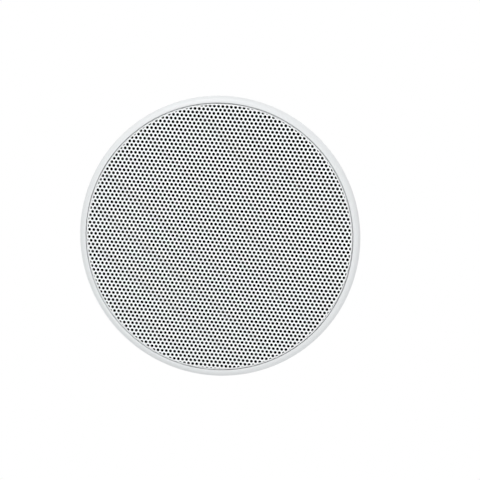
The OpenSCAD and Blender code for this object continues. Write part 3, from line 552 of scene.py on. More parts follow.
def perforated_sheet(sizes):
    """The grille's sheet: hexagonal cells, each with one hole, laid over its flat face, bend and rim."""
    tree, given, ids = node_tree(
        "Perforated round sheet",
        ("Pitch", "Hole radius", "Row spacing", "Field width", "Field height", "Reach", "Flat radius",
         "Bend radius", "Rim length", "Row angle"),
        ("Columns", "Rows", "Hole sides"), ("First hole", "Face"),
    )
    field = add(tree, "GeometryNodeMeshGrid", {
        "Size X": given["Field width"], "Size Y": given["Field height"],
        "Vertices X": given["Columns"], "Vertices Y": given["Rows"],
    })
    # Every second row is moved by half a pitch
    here = add(tree, "GeometryNodeInputPosition").outputs[0]
    spot = add(tree, "ShaderNodeSeparateXYZ", {0: here})
    row = add(tree, MATHS, {0: spot.outputs[1], 1: given["Row spacing"]}, operation="DIVIDE")
    row = add(tree, MATHS, {0: row.outputs[0]}, operation="ROUND")
    odd = add(tree, MATHS, {0: row.outputs[0], 1: 2.0}, operation="FLOORED_MODULO")
    half = add(tree, MATHS, {0: odd.outputs[0], 1: given["Pitch"]}, operation="MULTIPLY")
    half = add(tree, MATHS, {0: half.outputs[0], 1: 0.5}, operation="MULTIPLY")
    shift = add(tree, "ShaderNodeCombineXYZ", {0: half.outputs[0]})
    staggered = add(tree, "GeometryNodeSetPosition", {0: field.outputs[0], "Offset": shift.outputs[0]})
    turn = add(tree, "ShaderNodeCombineXYZ", {2: given["Row angle"]})
    laid = add(tree, "GeometryNodeTransform", {
        0: staggered.outputs[0], "Translation": given["First hole"], "Rotation": turn.outputs[0],
    })
    away = add(tree, VECTOR_MATHS, {0: here}, operation="LENGTH")
    outside = add(tree, MATHS, {0: away.outputs["Value"], 1: given["Reach"]}, operation="GREATER_THAN")
    spots = add(tree, "GeometryNodeDeleteGeometry", {0: laid.outputs[0], "Selection": outside.outputs[0]})

    # One cell, and a copy of it on every spot
    corner = add(tree, MATHS, {0: given["Pitch"], 1: math.sqrt(3)}, operation="DIVIDE")
    hexagon = add(tree, "GeometryNodeCurvePrimitiveCircle", {"Resolution": 6, "Radius": corner.outputs[0]})
    hexagon = add(tree, "GeometryNodeTransform", {0: hexagon.outputs[0], "Rotation": (0, 0, math.pi / 6)})
    hole = add(tree, "GeometryNodeCurvePrimitiveCircle", {
        "Resolution": given["Hole sides"], "Radius": given["Hole radius"],
    })
    outline = add(tree, "GeometryNodeJoinGeometry")
    tree.links.new(hexagon.outputs[0], outline.inputs[0])
    tree.links.new(hole.outputs[0], outline.inputs[0])
    cell = add(tree, "GeometryNodeFillCurve", {0: outline.outputs[0]})
    cell = add(tree, "GeometryNodeFlipFaces", {0: cell.outputs[0]})
    cells = add(tree, "GeometryNodeInstanceOnPoints", {
        0: spots.outputs[0], "Instance": cell.outputs[0], "Rotation": turn.outputs[0],
    })
    real = add(tree, "GeometryNodeRealizeInstances", {0: cells.outputs[0]})
    sheet = add(tree, "GeometryNodeMergeByDistance", {0: real.outputs[0], "Distance": 0.02 * MM})

    # The run from the middle outwards goes over the flat face, round the bend and up the rim
    run = add(tree, VECTOR_MATHS, {0: here}, operation="LENGTH").outputs["Value"]
    outward = add(tree, VECTOR_MATHS, {0: here}, operation="NORMALIZE").outputs[0]
    past = add(tree, MATHS, {0: run, 1: given["Flat radius"]}, operation="SUBTRACT")
    past = add(tree, MATHS, {0: past.outputs[0], 1: 0.0}, operation="MAXIMUM")
    bent = add(tree, MATHS, {0: past.outputs[0], 1: given["Bend radius"]}, operation="DIVIDE")
    bent = add(tree, MATHS, {0: bent.outputs[0], 1: math.pi / 2}, operation="MINIMUM")
    used = add(tree, MATHS, {0: bent.outputs[0], 1: given["Bend radius"]}, operation="MULTIPLY")
    rim = add(tree, MATHS, {0: past.outputs[0], 1: used.outputs[0]}, operation="SUBTRACT")
    rim = add(tree, MATHS, {0: rim.outputs[0], 1: given["Rim length"]}, operation="MINIMUM")
    sine = add(tree, MATHS, {0: bent.outputs[0]}, operation="SINE")
    flat = add(tree, MATHS, {0: run, 1: given["Flat radius"]}, operation="MINIMUM")
    radius = add(tree, MATHS, {
        0: sine.outputs[0], 1: given["Bend radius"], 2: flat.outputs[0],
    }, operation="MULTIPLY_ADD")
    cosine = add(tree, MATHS, {0: bent.outputs[0]}, operation="COSINE")
    rise = add(tree, MATHS, {0: 1.0, 1: cosine.outputs[0]}, operation="SUBTRACT")
    rise = add(tree, MATHS, {
        0: rise.outputs[0], 1: given["Bend radius"], 2: rim.outputs[0],
    }, operation="MULTIPLY_ADD")
    plan = add(tree, VECTOR_MATHS, {0: outward, "Scale": radius.outputs[0]}, operation="SCALE")
    up = add(tree, "ShaderNodeCombineXYZ", {2: rise.outputs[0]})
    lands = add(tree, VECTOR_MATHS, {0: plan.outputs[0], 1: up.outputs[0]}, operation="ADD")
    lands = add(tree, VECTOR_MATHS, {0: lands.outputs[0], 1: given["Face"]}, operation="ADD")
    pressed = add(tree, "GeometryNodeSetPosition", {0: sheet.outputs[0], "Position": lands.outputs[0]})
    close_tree(tree, pressed.outputs[0], "powder_coated_steel")

    row_gap = sizes.pitch * math.sqrt(3) / 2
    # A hole of few sides is made larger, so that it is as open as a round one
    same_area = math.sqrt(FULL / (sizes.sides * math.sin(FULL / sizes.sides)))
    flat_r = GRILLE_R - sizes.bend
    rim_l = GRILLE_SEAT - GRILLE_FACE - sizes.bend
    reach_s = flat_r + sizes.bend * math.pi / 2 + rim_l - 0.5 * sizes.pitch
    spare = 5
    columns, rows = (2 * math.ceil(reach_s / gap) + spare for gap in (sizes.pitch, row_gap))
    return grown(tree, ids, {
        "Pitch": sizes.pitch, "Hole radius": sizes.hole / 2 * same_area, "Row spacing": row_gap,
        "Field width": (columns - 1) * sizes.pitch, "Field height": (rows - 1) * row_gap, "Reach": reach_s,
        "Flat radius": flat_r, "Bend radius": sizes.bend, "Rim length": rim_l, "Row angle": sizes.row_angle,
        "Columns": columns, "Rows": rows, "Hole sides": sizes.sides,
        "First hole": (sizes.first_x, sizes.first_y, 0.0), "Face": (0.0, 0.0, GRILLE_FACE),
    })


def wound_wire(finish, radius, wire, turns, height, base, sides=8, steps=24):
    """A wire wound up the Z axis from a base point: a spring, a thread's ridge or one layer of a winding."""
    tree, given, ids = node_tree(
        "Wound wire", ("Radius", "Wire radius", "Turns", "Height"), ("Steps", "Sides"), ("Base",)
    )
    path = add(tree, "GeometryNodeCurveSpiral", {
        "Resolution": given["Steps"], "Rotations": given["Turns"], "Start Radius": given["Radius"],
        "End Radius": given["Radius"], "Height": given["Height"],
    })
    upright = add(tree, "GeometryNodeSetCurveNormal", {0: path.outputs[0]}, mode="Z_UP")
    section = add(tree, "GeometryNodeCurvePrimitiveCircle", {
        "Resolution": given["Sides"], "Radius": given["Wire radius"],
    })
    wound = add(tree, "GeometryNodeCurveToMesh", {
        0: upright.outputs[0], 1: section.outputs[0], "Fill Caps": True,
    })
    moved = add(tree, "GeometryNodeTransform", {0: wound.outputs[0], "Translation": given["Base"]})
    close_tree(tree, moved.outputs[0], finish)
    return grown(tree, ids, {
        "Radius": radius, "Wire radius": wire / 2, "Turns": turns, "Height": height,
        "Steps": steps, "Sides": sides, "Base": tuple(base),
    })


def drawn_wire(finish, routes, wire, sides=12):
    """Round wires along smooth routes of points."""
    tree, given, ids = node_tree("Drawn wire", ("Wire radius", "Step"), ("Sides",))
    along = {0: given["Geometry"], "Length": given["Step"]}
    even = add(tree, "GeometryNodeResampleCurve", along, mode="LENGTH")
    section = add(tree, "GeometryNodeCurvePrimitiveCircle", {
        "Resolution": given["Sides"], "Radius": given["Wire radius"],
    })
    wires = add(tree, "GeometryNodeCurveToMesh", {
        0: even.outputs[0], 1: section.outputs[0], "Fill Caps": True,
    })
    close_tree(tree, wires.outputs[0], finish)
    curve = bpy.data.curves.new("route", "CURVE")
    curve.dimensions = "3D"
    for route in routes:
        points = smooth(route)
        line = curve.splines.new("POLY")
        line.points.add(len(points) - 1)
        for p, point in zip(line.points, points):
            p.co = (*point, 1)
    step = wire * 0.6
    return grown(tree, ids, {"Wire radius": wire / 2, "Step": step, "Sides": sides}, curve)


def smooth(route, parts=8):
    """Points of a smooth line through a route, its corners rounded."""
    route = [Vector(p) for p in route]
    line = [route[0]]
    for i in range(1, len(route) - 1):
        b = route[i]
        a, c = (route[i - 1] + b) / 2, (b + route[i + 1]) / 2
        for j in range(parts + 1):
            t = j / parts
            line.append((1 - t) ** 2 * a + 2 * t * (1 - t) * b + t * t * c)
    return line + [route[-1]]


def on_points(finish, points, radius, top_radius, height, sides=16):
    """Small tapered studs standing on points, such as solder joints."""
    tree, given, ids = node_tree("Studs on points", ("Radius", "Top radius", "Height"), ("Sides",))
    stud = add(tree, "GeometryNodeMeshCone", {
        "Vertices": given["Sides"], "Radius Bottom": given["Radius"], "Radius Top": given["Top radius"],
        "Depth": given["Height"],
    })
    studs = add(tree, "GeometryNodeInstanceOnPoints", {0: given["Geometry"], "Instance": stud.outputs[0]})
    close_tree(tree, studs.outputs[0], finish)
    spots = bpy.data.meshes.new("spots")
    spots.from_pydata([tuple(p) for p in points], [], [])
    return grown(tree, ids, {
        "Radius": radius, "Top radius": top_radius, "Height": height, "Sides": sides,
    }, spots)


def joined(*meshes):
    """Several meshes in one bmesh."""
    whole = bmesh.new()
    for part in meshes:
        if isinstance(part, bmesh.types.BMesh):
            made = bpy.data.meshes.new("part")
            part.to_mesh(made)
            part.free()
            part = made
        whole.from_mesh(part)
    return whole


def bending_sectors(node, finish, count):
    """A ring between the cone and the speaker, in sectors cut along radial planes."""
    half, on_plane = math.pi / count, 0.0001 * MM
    for i in range(count):
        middle = FULL * (i + 0.5) / count
        along = Vector((math.cos(middle), math.sin(middle), 0))
        mesh = merged(node)
        for side in (-1, 1):
            turn = middle + side * half
            cut = bmesh.ops.bisect_plane(
                mesh, geom=mesh.verts[:] + mesh.edges[:] + mesh.faces[:], dist=on_plane,
                plane_co=(0, 0, 0), plane_no=(-side * math.sin(turn), side * math.cos(turn), 0),
                clear_outer=True,
            )["geom_cut"]
            rim = [g for g in cut if isinstance(g, bmesh.types.BMEdge)]
            bmesh.ops.edgenet_fill(mesh, edges=rim)
        away = [v for v in mesh.verts if v.co.dot(along) < 0]
        bmesh.ops.delete(mesh, geom=away, context="VERTS")
        bmesh.ops.recalc_face_normals(mesh, faces=mesh.faces)
        piece = put(f"{node}_{i + 1:02d}", mesh, finish, node)
        piece.parent = None
        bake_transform(piece)


class SPEAKER_OT_grille(bpy.types.Operator):
    """Perforated steel grille with its bent rim, the cloth behind it and the magnets that hold it"""

    bl_idname = "speaker.grille"
    bl_label = "Grille"

    def execute(self, context):
        sizes = settings("grille")
        sheet = bmesh.new()
        sheet.from_mesh(perforated_sheet(sizes))
        bmesh.ops.solidify(sheet, geom=sheet.faces[:], thickness=sizes.sheet)
        # A thin hem closes the punched rim on its inside
        rim_r, hem_low = GRILLE_R - sizes.sheet, (GRILLE_SEAT + GRILLE_FACE) / 2
        hem_r = rim_r - 0.3 * MM
        hem = revolved([(rim_r, GRILLE_SEAT), (rim_r, hem_low), (hem_r, hem_low), (hem_r, GRILLE_SEAT)])
        put("perforated_grille", joined(sheet, hem), "powder_coated_steel", "grille")

        cloth = bmesh.new()
        rings, spokes = 24, 96
        cloth_gap, cloth_t = 0.05 * MM, 0.3 * MM
        scrim_r, level = hem_r - cloth_gap, centre("grille_cloth").z
        turns = [FULL * j / spokes for j in range(spokes)]
        grid = [[cloth.verts.new((0, 0, level))]]
        for i in range(1, rings + 1):
            r = scrim_r * i / rings
            grid.append([cloth.verts.new((r * math.cos(t), r * math.sin(t), level)) for t in turns])
        for j in range(spokes):
            k = (j + 1) % spokes
            cloth.faces.new((grid[0][0], grid[1][j], grid[1][k]))
            for i in range(1, rings):
                cloth.faces.new((grid[i][j], grid[i + 1][j], grid[i + 1][k], grid[i][k]))
        bmesh.ops.solidify(cloth, geom=cloth.faces[:], thickness=cloth_t)
        bmesh.ops.recalc_face_normals(cloth, faces=cloth.faces)
        scrim = put("grille_scrim", cloth, "woven_black_scrim", "grille_cloth")
        dressed("grille_magnets", "nickel_plate", edge=0.25 * MM)
        return {"FINISHED"}


def foam_ring(node, crown):
    """A foam ring in place of its CAD ring, with a crowned section."""
    outer, low, high = reach(node)
    inner = bore(node)
    middle, half = (outer + inner) / 2, (outer - inner) / 2
    steps = 16
    profile = []
    for i in range(steps + 1):
        turn = math.pi * i / steps
        profile.append((middle + half * math.cos(turn), high - crown + crown * math.sin(turn)))
    profile += [(inner, low), (outer, low)]
    piece = put(node + "_foam", revolved(profile), "closed_cell_foam", node)


class SPEAKER_OT_frame(bpy.types.Operator):
    """Moulded frame with its bezel, collar, baffle, ribs and clamp towers, and its foam gasket"""

    bl_idname = "speaker.frame"
    bl_label = "Frame"

    def execute(self, context):
        for node in ("bezel_ring", "collar", "baffle"):
            dressed(node, "satin_moulded_abs")
        for node in ("screw_bosses", "frame_ribs", "clamp_towers"):
            dressed(node, "satin_moulded_abs", edge=0.2 * MM)
        foam_ring("ceiling_gasket", crown=0.8 * MM)
        return {"FINISHED"}


class SPEAKER_OT_woofer(bpy.types.Operator):
    """Woofer with its basket, surround, cone, spider, magnet, tag strip and soldered lugs"""

    bl_idname = "speaker.woofer"
    bl_label = "Woofer"

    def execute(self, context):
        sizes = settings("driver")
        foam_ring("woofer_gasket", crown=0.1 * MM)
        dressed("woofer_basket", "epoxy_coated_steel")
        dressed("woofer_screws", "black_oxide_steel")
        dressed("woofer_cone", "mica_polypropylene")
        dressed("coil_former", "polyimide_film")
        outer, low, high = reach("voice_coil")
        inner = bore("voice_coil")
        wire = outer - inner
        turns = int((high - low) / wire) - 1
        coil = wound_wire(
            "enamelled_copper", (outer + inner) / 2, wire * LOOSE, turns, turns * wire,
            (0, 0, (high + low - turns * wire) / 2), sides=6, steps=48,
        )
        put("voice_coil_winding", coil, "enamelled_copper", "voice_coil")
        # Each ring is glued down on its outermost few millimetres
        surround_glued, spider_glued = 4 * MM, 3.5 * MM
        for node, finish, inside, glued in (
            ("woofer_surround", "nitrile_rubber", "woofer_cone", surround_glued),
            ("spider", "treated_cotton", "coil_former", spider_glued),
        ):
            bending_sectors(node, finish, sizes.sectors)
        dressed("top_plate", "turned_plated_steel", edge=0.4 * MM)
        dressed("ferrite_magnet", "ground_ferrite", edge=0.5 * MM)
        dressed("yoke", "turned_plated_steel", edge=0.4 * MM)
        dressed("tag_strip", "phenolic_paper", edge=0.15 * MM)
        put("soldered_lugs", soldered_lugs(), "tinned_copper", body="speaker")
        return {"FINISHED"}


def soldered_lugs():
    """The tag strip's two lugs, each clasping the strip at its top and bottom edge."""
    low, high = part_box("tag_strip")
    proud, half_width, overhang, clasp = 0.3 * MM, 1.5 * MM, 0.4 * MM, 2.2 * MM
    lugs = bmesh.new()
    for colour_name in COLOUR_NAMES:
        side = centre(colour_name + "_lead").y
        for end, inward in ((low.z, 1), (high.z, -1)):
            bottom, top = sorted((end - inward * overhang, end + inward * clasp))
            block(
                lugs, (low.x - proud, side - half_width, bottom), (high.x + proud, side + half_width, top)
            )
    return lugs


class SPEAKER_OT_tweeter(bpy.types.Operator):
    """Tweeter on its post through the woofer"""

    bl_idname = "speaker.tweeter"
    bl_label = "Tweeter"

    def execute(self, context):
        dressed("tweeter_post", "textured_black_abs")
        dressed("tweeter_cup", "zinc_plated_steel", edge=0.4 * MM)
        dressed("tweeter_magnet", "nickel_plate", edge=0.3 * MM)
        dressed("tweeter_pole_plate", "turned_plated_steel", edge=0.2 * MM)
        dressed("tweeter_dome", "coated_silk")
        dressed("tweeter_coil", "enamelled_copper")
        dressed("tweeter_face", "textured_black_abs", edge=0.25 * MM)
        dressed("tweeter_bolt", "zinc_plated_steel")
        dressed("tweeter_leads", "red_pvc")
        return {"FINISHED"}


class SPEAKER_OT_crossover(bpy.types.Operator):
    """Crossover tray and board with its capacitors, inductor and resistor"""

    bl_idname = "speaker.crossover"
    bl_label = "Crossover"

    def execute(self, context):
        sizes = settings("driver")
        dressed("crossover_tray", "textured_black_abs", edge=sizes.edge)
        dressed("tray_screws", "zinc_plated_steel")
        dressed("board_screws", "zinc_plated_steel")
        board_finish()
        dressed("circuit_board", "solder_masked_board")
        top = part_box("circuit_board")[1].z

        legs, feet = [], []
        for node, axis in (("woofer_capacitor", 0), ("tweeter_capacitor", 1), ("resistor", 1)):
            component(node, axis)
            for leg in component_legs(node, axis, top):
                legs.append(leg)
                feet.append(leg[-1])
        put("component_legs", drawn_wire("tinned_copper", legs, 0.7 * MM), "tinned_copper", body="speaker")

        dressed("inductor_core", "ground_ferrite", edge=0.3 * MM)
        put("inductor_wire", inductor_winding(sizes.wire), "enamelled_copper", "inductor_winding")
        tails = inductor_tails(top)
        feet += [tail[-1] for tail in tails]
        wires = drawn_wire("enamelled_copper", tails, 0.8 * MM)
        put("inductor_tails", wires, "enamelled_copper", body="speaker")
        stuck_in = 0.05 * MM
        spots = [(foot.x, foot.y, top - stuck_in) for foot in feet]
        joints = on_points("tinned_copper", spots, radius=1.1 * MM, top_radius=0.5 * MM, height=0.7 * MM)
        put("solder_joints", joints, "tinned_copper", body="speaker")
        return {"FINISHED"}


def component(node, axis):
    """A component lying along an axis: a cement case, or a wrapped capacitor with sealed ends."""
    if node == "resistor":
        case = put(node + "_body", merged(node), "cast_cement", node)
        case.modifiers.new("Rounded edges", "BEVEL").width = settings("driver").edge
        return
    seal = 0.9 * MM
    low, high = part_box(node)
    wrapped = put(node + "_body", merged(node), "wrapped_polyester_tape", node)
    wrapped.data.materials.append(finish_of("cast_epoxy"))
    for face in wrapped.data.polygons:
        at = face.center[axis]
        if min(at - low[axis], high[axis] - at) < seal:
            face.material_index = 1


def component_legs(node, axis, top):
    """Routes of a component's two legs, from inside its ends, out and down into the board."""
    inside, outside, resistor_offset = 1.0 * MM, 0.9 * MM, 1.8 * MM
    low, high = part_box(node)
    routes = []
    for side, edge_at in ((-1, low[axis]), (1, high[axis])):
        start, out, foot = (centre(node) for _ in range(3))
        start[axis] = edge_at - side * inside
        out[axis] = foot[axis] = edge_at + side * outside
        if node == "resistor":
            for p in (start, out, foot):
                p.x += resistor_offset
        foot.z = top - LEG_SUNK
        routes.append([start, out, foot])
    return routes


def inductor_winding(wire):
    """The inductor's outer layer of wire, over a plain core of the layers below."""
    low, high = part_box("inductor_winding")
    middle, radius, tall = centre("inductor_winding"), (high.x - low.x) / 2, high.z - low.z
    layer = wound_wire(
        "enamelled_copper", radius - wire / 2, wire, int(tall / wire) - 1, tall - wire,
        (middle.x, middle.y, low.z + wire / 2), sides=8, steps=40,
    )
    under_r = radius - 0.6 * wire
    under = bmesh.new()
    bmesh.ops.create_cone(
        under, cap_ends=True, segments=48, radius1=under_r, radius2=under_r, depth=tall,
        matrix=Matrix.Translation(middle),
    )
    return joined(layer, under)


def inductor_tails(top):
    """Routes of the inductor's two wire ends, out of the winding and down into the board."""
    aside, inside, outside, above = 2 * MM, 1.2 * MM, 2.2 * MM, 1 * MM
    low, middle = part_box("inductor_winding")[0], centre("inductor_winding")
    routes = []
    for x in (middle.x - aside, middle.x + aside):
        start = Vector((x, low.y + inside, low.z + above))
        out = Vector((x, low.y - outside, low.z + above))
        routes.append([start, out, Vector((x, low.y - outside, top - LEG_SUNK))])
    return routes


def board_finish():
    """Glass-epoxy board under glossy green solder mask, with paler tracks and white outlines."""
    base = list(settings("colours").board)
    _, tree, shader = surface(
        "solder_masked_board", base, roughness=0.28, ior=1.55, **{"Coat Weight": 0.2, "Coat Roughness": 0.1}
    )
    at = place(tree)
    spot = add(tree, "ShaderNodeSeparateXYZ", {0: at})
    low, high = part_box("circuit_board")
    printed_round = ("woofer_capacitor", "tweeter_capacitor", "resistor", "inductor_core", "terminal_block")
    # Corners of each copper track: along the board from its ends, across it from its middle
    tracks = [
        (Vector((low.x + 14 * MM, -16 * MM)), Vector((high.x - 8 * MM, -12 * MM))),
        (Vector((low.x + 16 * MM, 18.6 * MM)), Vector((high.x - 8 * MM, 21 * MM))),
        (Vector((high.x - 9 * MM, -5 * MM)), Vector((high.x - 2 * MM, 5 * MM))),
        (Vector((low.x + 8 * MM, -9 * MM)), Vector((low.x + 26 * MM, -2 * MM))),
        (Vector((low.x + 8 * MM, 2 * MM)), Vector((low.x + 26 * MM, 9 * MM))),
    ]

    def beyond(corners):
        """Distance of the surface outside a rectangle, negative inside it."""
        sides = []
        for i in (0, 1):
            mid = (corners[0][i] + corners[1][i]) / 2
            half = (corners[1][i] - corners[0][i]) / 2
            off = add(tree, MATHS, {0: spot.outputs[i], 1: mid}, operation="SUBTRACT")
            off = add(tree, MATHS, {0: off.outputs[0]}, operation="ABSOLUTE")
            sides.append(add(tree, MATHS, {0: off.outputs[0], 1: half}, operation="SUBTRACT"))
        both = {0: sides[0].outputs[0], 1: sides[1].outputs[0]}
        return add(tree, MATHS, both, operation="MAXIMUM").outputs[0]

    copper = add(tree, "ShaderNodeValue").outputs[0]
    copper.default_value = 0.0
    for corners in tracks:
        inside = add(tree, MATHS, {0: beyond(corners), 1: 0.0}, operation="LESS_THAN")
        copper = add(tree, MATHS, {0: copper, 1: inside.outputs[0]}, operation="MAXIMUM").outputs[0]
    ink = add(tree, "ShaderNodeValue").outputs[0]
    ink.default_value = 0.0
    margin, half_line = Vector((0.8, 0.8, 0)) * MM, 0.15 * MM
    for node in printed_round:
        a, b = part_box(node)
        off = add(tree, MATHS, {0: beyond((a - margin, b + margin))}, operation="ABSOLUTE")
        line = add(tree, MATHS, {0: off.outputs[0], 1: half_line}, operation="LESS_THAN")
        ink = add(tree, MATHS, {0: ink, 1: line.outputs[0]}, operation="MAXIMUM").outputs[0]
    # Over copper the mask looks nearly twice as pale
    lighter = [min(1, c * 1.9 + 0.01) for c in base]
    green = add(tree, "ShaderNodeMix", {0: copper, 6: (*base, 1), 7: (*lighter, 1)}, data_type="RGBA")
    white = linear("#e1e1dd")
    printed = add(tree, "ShaderNodeMix", {0: ink, 6: green.outputs[2], 7: (*white, 1)}, data_type="RGBA")
    tree.links.new(printed.outputs[2], shader.inputs["Base Color"])
    # The glass cloth has a bundle of fibres about every 1.1 mm and shows faintly; copper stands proud of it
    cloth_count, cloth_share, copper_t = 0.9 / MM, 0.15, 0.05 * MM
    weave = add(tree, "ShaderNodeTexNoise", {"Vector": at, "Scale": cloth_count, "Detail": 2.0}).outputs[0]
    height = add(tree, MATHS, {0: weave, 1: cloth_share, 2: copper}, operation="MULTIPLY_ADD").outputs[0]
    dent(tree, shader, height, copper_t)


class SPEAKER_OT_terminals(bpy.types.Operator):
    """Spring terminals for the speaker wire, with their buttons, springs and polarity marks"""

    bl_idname = "speaker.terminals"
    bl_label = "Terminals"

    def execute(self, context):
        sizes = settings("driver")
        dressed("terminal_block", "textured_black_abs", edge=sizes.edge)
        for colour_name in COLOUR_NAMES:
            dressed(colour_name + "_button", f"polished_{colour_name}_abs", edge=sizes.edge)
            terminal_spring(colour_name)
        put("polarity_marks", polarity_marks(), "white_ink", body="speaker")
        return {"FINISHED"}


def terminal_spring(colour_name):
    """A coil spring under a button."""
    turns, wire, travel = 5.0, 0.6 * MM, 3 * MM
    low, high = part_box(colour_name + "_spring")
    middle, tall = centre(colour_name + "_spring"), high.z - low.z
    spring = wound_wire(
        "drawn_spring_steel", (high.x - low.x) / 2 - wire / 2, wire, turns, tall - wire,
        (middle.x, middle.y, low.z + wire / 2), sides=10, steps=32,
    )
    piece = put(colour_name + "_spring_wire", spring, "drawn_spring_steel", colour_name + "_spring")
    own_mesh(piece)


def polarity_marks():
    """Raised plus beside the red button and minus beside the black one."""
    low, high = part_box("terminal_block")
    inset, half_line, half_long = 2.1 * MM, 0.3 * MM, 1.5 * MM
    bottom, top = high.z - 0.1 * MM, high.z + 0.2 * MM
    x = low.x + inset
    marks = bmesh.new()
    for colour_name in COLOUR_NAMES:
        y = centre(colour_name + "_spring").y
        block(marks, (x - half_long, y - half_line, bottom), (x + half_long, y + half_line, top))
        if colour_name == "red":
            for near, far in ((-half_long, -half_line), (half_line, half_long)):
                block(marks, (x - half_line, y + near, bottom), (x + half_line, y + far, top))
    return marks


class SPEAKER_OT_leads(bpy.types.Operator):
    """Leads from the board to the woofer's tags, and the braided leads on to the cone"""

    bl_idname = "speaker.leads"
    bl_label = "Leads"

    def execute(self, context):
        for colour_name in COLOUR_NAMES:
            dressed(colour_name + "_lead", colour_name + "_pvc")
        tinsel = put("tinsel_leads_braid", merged("tinsel_leads"), "braided_tinsel", "tinsel_leads")
        tinsel.parent = None
        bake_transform(tinsel)
        return {"FINISHED"}


class SPEAKER_OT_clamps(bpy.types.Operator):
    """Swing-out clamps: threaded screws, washers, brass bushes and paws"""

    bl_idname = "speaker.clamps"
    bl_label = "Ceiling clamps"

    def execute(self, context):
        sizes = settings("driver")
        for k in range(1, len(CLAMPS) + 1):
            screw, bush, paw = (f"clamp_{part}_{k}" for part in ("screw", "bush", "paw"))
            threaded = clamp_screw(screw, centre(bush), sizes.thread_lead)
            put(f"clamp_screw_{k}_threaded", threaded, "zinc_plated_steel", screw)
            dressed(f"clamp_washer_{k}", "zinc_plated_steel", edge=0.1 * MM)
            dressed(bush, "turned_brass", edge=0.2 * MM)
            dressed(paw, "glass_filled_nylon", edge=sizes.edge)
        return {"FINISHED"}


def clamp_screw(screw, axis, pitch):
    """A clamp's screw: its CAD head in the baffle, then a core with one thread wound up it."""
    ridge, plain, joint = 0.42 * MM, 4 * MM, 0.05 * MM
    top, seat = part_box(screw)[1].z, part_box("baffle")[0].z
    tip = [v.co - axis for v in frame["nodes"][screw].data.vertices if abs(v.co.z - top) < 0.01 * MM]
    core_r = min(math.hypot(p.x, p.y) for p in tip) - ridge
    head = merged(screw)
    above = [v for v in head.verts if v.co.z > seat + joint]
    bmesh.ops.delete(head, geom=above, context="VERTS")
    bmesh.ops.holes_fill(head, edges=[e for e in head.edges if e.is_boundary], sides=0)
    core = bmesh.new()
    bmesh.ops.create_cone(
        core, cap_ends=True, segments=24, radius1=core_r, radius2=core_r, depth=top - seat,
        matrix=Matrix.Translation((axis.x, axis.y, (top + seat) / 2)),
    )
    start = seat + plain
    turns = int((top - start - ridge) / pitch)
    thread = wound_wire(
        "zinc_plated_steel", core_r, 2 * ridge * LOOSE, turns, turns * pitch, (axis.x, axis.y, start),
        sides=4, steps=24,
    )
    return joined(head, core, thread)


class SPEAKER_OT_stage(bpy.types.Operator):
    """Pale floor far below, soft lamps above and below, white surroundings and the camera under the grille"""

    bl_idname = "speaker.stage"
    bl_label = "Stage"

    def execute(self, context):
        scene, stage = context.scene, settings("stage")
        floor = painted_floor(stage)
        scene.collection.objects.link(floor)

        # Two lamps below, which light the grille as in the photo, and two above
        for n, (spot, watts) in enumerate((
            ((-0.35, -1.15, -1.05), stage.key), ((0.95, 0.8, -1.15), stage.below),
            ((0.9, -0.9, 1.2), stage.above), ((-1.0, 0.6, 1.25), stage.above),
        )):
            lamp = bpy.data.lights.new(f"soft_lamp_{n + 1}", "AREA")
            lamp.shape, lamp.size, lamp.energy = "DISK", stage.lamp_size, watts
            holder = bpy.data.objects.new(lamp.name, lamp)
            scene.collection.objects.link(holder)
            holder.location = spot
            holder.rotation_euler = (-Vector(spot)).to_track_quat("-Z", "Y").to_euler()
            holder.visible_camera = False

        scene.world = white_surroundings(stage)
        camera = aimed_camera(settings("camera"))
        scene.collection.objects.link(camera)
        scene.camera = camera
        scene.view_settings.view_transform = "Standard"
        return {"FINISHED"}


def painted_floor(stage):
    """Studio floor in plain white emulsion, which shows nearly as white as the surroundings."""
    plane = bmesh.new()
    bmesh.ops.create_grid(
        plane, x_segments=1, y_segments=1, size=stage.floor_size,
        matrix=Matrix.Translation((0, 0, stage.floor_z)),
    )
    ground = bpy.data.meshes.new("floor")
    plane.to_mesh(ground)
    plane.free()
    emulsion = linear("#f4f5f5")
    paint, tree, shader = surface("white_floor_paint", emulsion, roughness=0.8)
    # Roller marks about 330 mm across, hardly darker than the rest
    mottle = add(tree, "ShaderNodeTexNoise", {"Vector": place(tree), "Scale": 3.0}).outputs[0]
    tint(tree, shader, emulsion, mottle, 0.99)
    white = add(tree, "ShaderNodeEmission", {"Color": (1, 1, 1, 1), "Strength": 1.0})
    share = add(tree, MATHS, {0: seen_directly(tree), 1: stage.floor_white}, operation="MULTIPLY")
    shown = add(tree, "ShaderNodeMixShader", {
        0: share.outputs[0], 1: shader.outputs[0], 2: white.outputs[0],
    })
    ending = next(n for n in tree.nodes if n.bl_idname == "ShaderNodeOutputMaterial")
    tree.links.new(shown.outputs[0], ending.inputs["Surface"])
    ground.materials.append(paint)
    return bpy.data.objects.new("floor", ground)


def white_surroundings(stage):
    """A white world that lights the object at a plain level and shows as full white."""
    world = bpy.data.worlds.new("white surroundings")
    world.use_nodes = True
    tree = world.node_tree
    tree.nodes.clear()
    strength = add(tree, "ShaderNodeMapRange", {"Value": seen_directly(tree), 3: stage.sky, 4: 1.0})
    sky = add(tree, "ShaderNodeBackground", {"Color": (1, 1, 1, 1), "Strength": strength.outputs[0]})
    add(tree, "ShaderNodeOutputWorld", {"Surface": sky.outputs[0]})
    return world


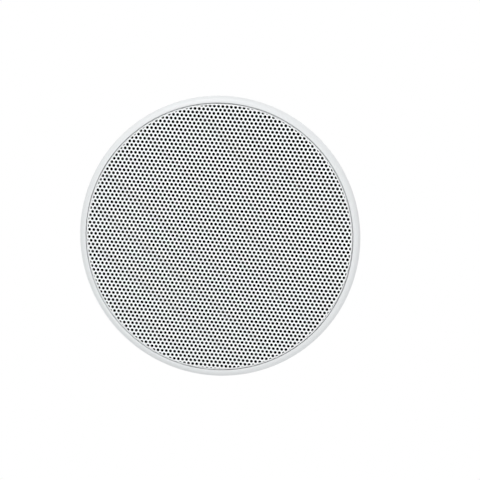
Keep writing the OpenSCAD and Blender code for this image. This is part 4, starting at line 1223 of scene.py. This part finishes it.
def aimed_camera(look):
    """The camera below the ceiling, aimed at the grille's face with the room's +Y down in the picture."""
    target = Vector((look.aim_x, look.aim_y, GRILLE_FACE))
    flat, up = math.cos(look.elevation), math.sin(look.elevation)
    away = Vector((math.sin(look.azimuth) * flat, -math.cos(look.azimuth) * flat, up))
    eye = Vector((0, 0, GRILLE_FACE)) + look.distance * away
    ahead = (target - eye).normalized()
    right = ahead.cross(Vector((0, -1, 0))).normalized()
    above = right.cross(ahead)
    turned_right = math.cos(look.roll) * right + math.sin(look.roll) * above
    turned_up = -math.sin(look.roll) * right + math.cos(look.roll) * above
    view = Matrix((turned_right, turned_up, -ahead)).transposed().to_4x4()
    view.translation = eye
    camera = bpy.data.cameras.new("camera")
    camera.lens, camera.sensor_width = look.lens, 36.0
    holder = bpy.data.objects.new("camera", camera)
    holder.matrix_world = view
    return holder


class SPEAKER_PT_pieces(bpy.types.Panel):
    """Lists the steps that dress the speaker"""

    bl_label = "In-ceiling speaker"
    bl_idname = "SPEAKER_PT_pieces"
    bl_space_type = "VIEW_3D"
    bl_region_type = "UI"
    bl_category = "Speaker"

    def draw(self, context):
        for step in STEPS:
            self.layout.operator(step.bl_idname)
        for group in GROUPS:
            held = settings(group)
            for name in held.__annotations__:
                self.layout.prop(held, name)


STEPS = (
    SPEAKER_OT_stage, SPEAKER_OT_grille, SPEAKER_OT_frame, SPEAKER_OT_woofer, SPEAKER_OT_tweeter,
    SPEAKER_OT_crossover, SPEAKER_OT_terminals, SPEAKER_OT_leads, SPEAKER_OT_clamps,
)
GROUPS = {
    "grille": SpeakerGrilleSizes, "driver": SpeakerDriverSizes, "colours": SpeakerColours,
    "camera": SpeakerCamera, "stage": SpeakerStage,
}


def register():
    """Makes the settings, the operators and the panel known to Blender."""
    for kind in (*GROUPS.values(), *STEPS, SPEAKER_PT_pieces):
        bpy.utils.register_class(kind)
    for name, kind in GROUPS.items():
        setattr(bpy.types.Scene, "speaker_" + name, PointerProperty(type=kind))


def unregister():
    """Takes them all away again."""
    for name in GROUPS:
        delattr(bpy.types.Scene, "speaker_" + name)
    for kind in (SPEAKER_PT_pieces, *reversed(STEPS), *GROUPS.values()):
        bpy.utils.unregister_class(kind)


def main():
    """Dresses the speaker step by step."""
    register()
    for step in STEPS:
        getattr(bpy.ops.speaker, step.bl_idname.split(".")[1])()


if __name__ == "__main__":
    main()
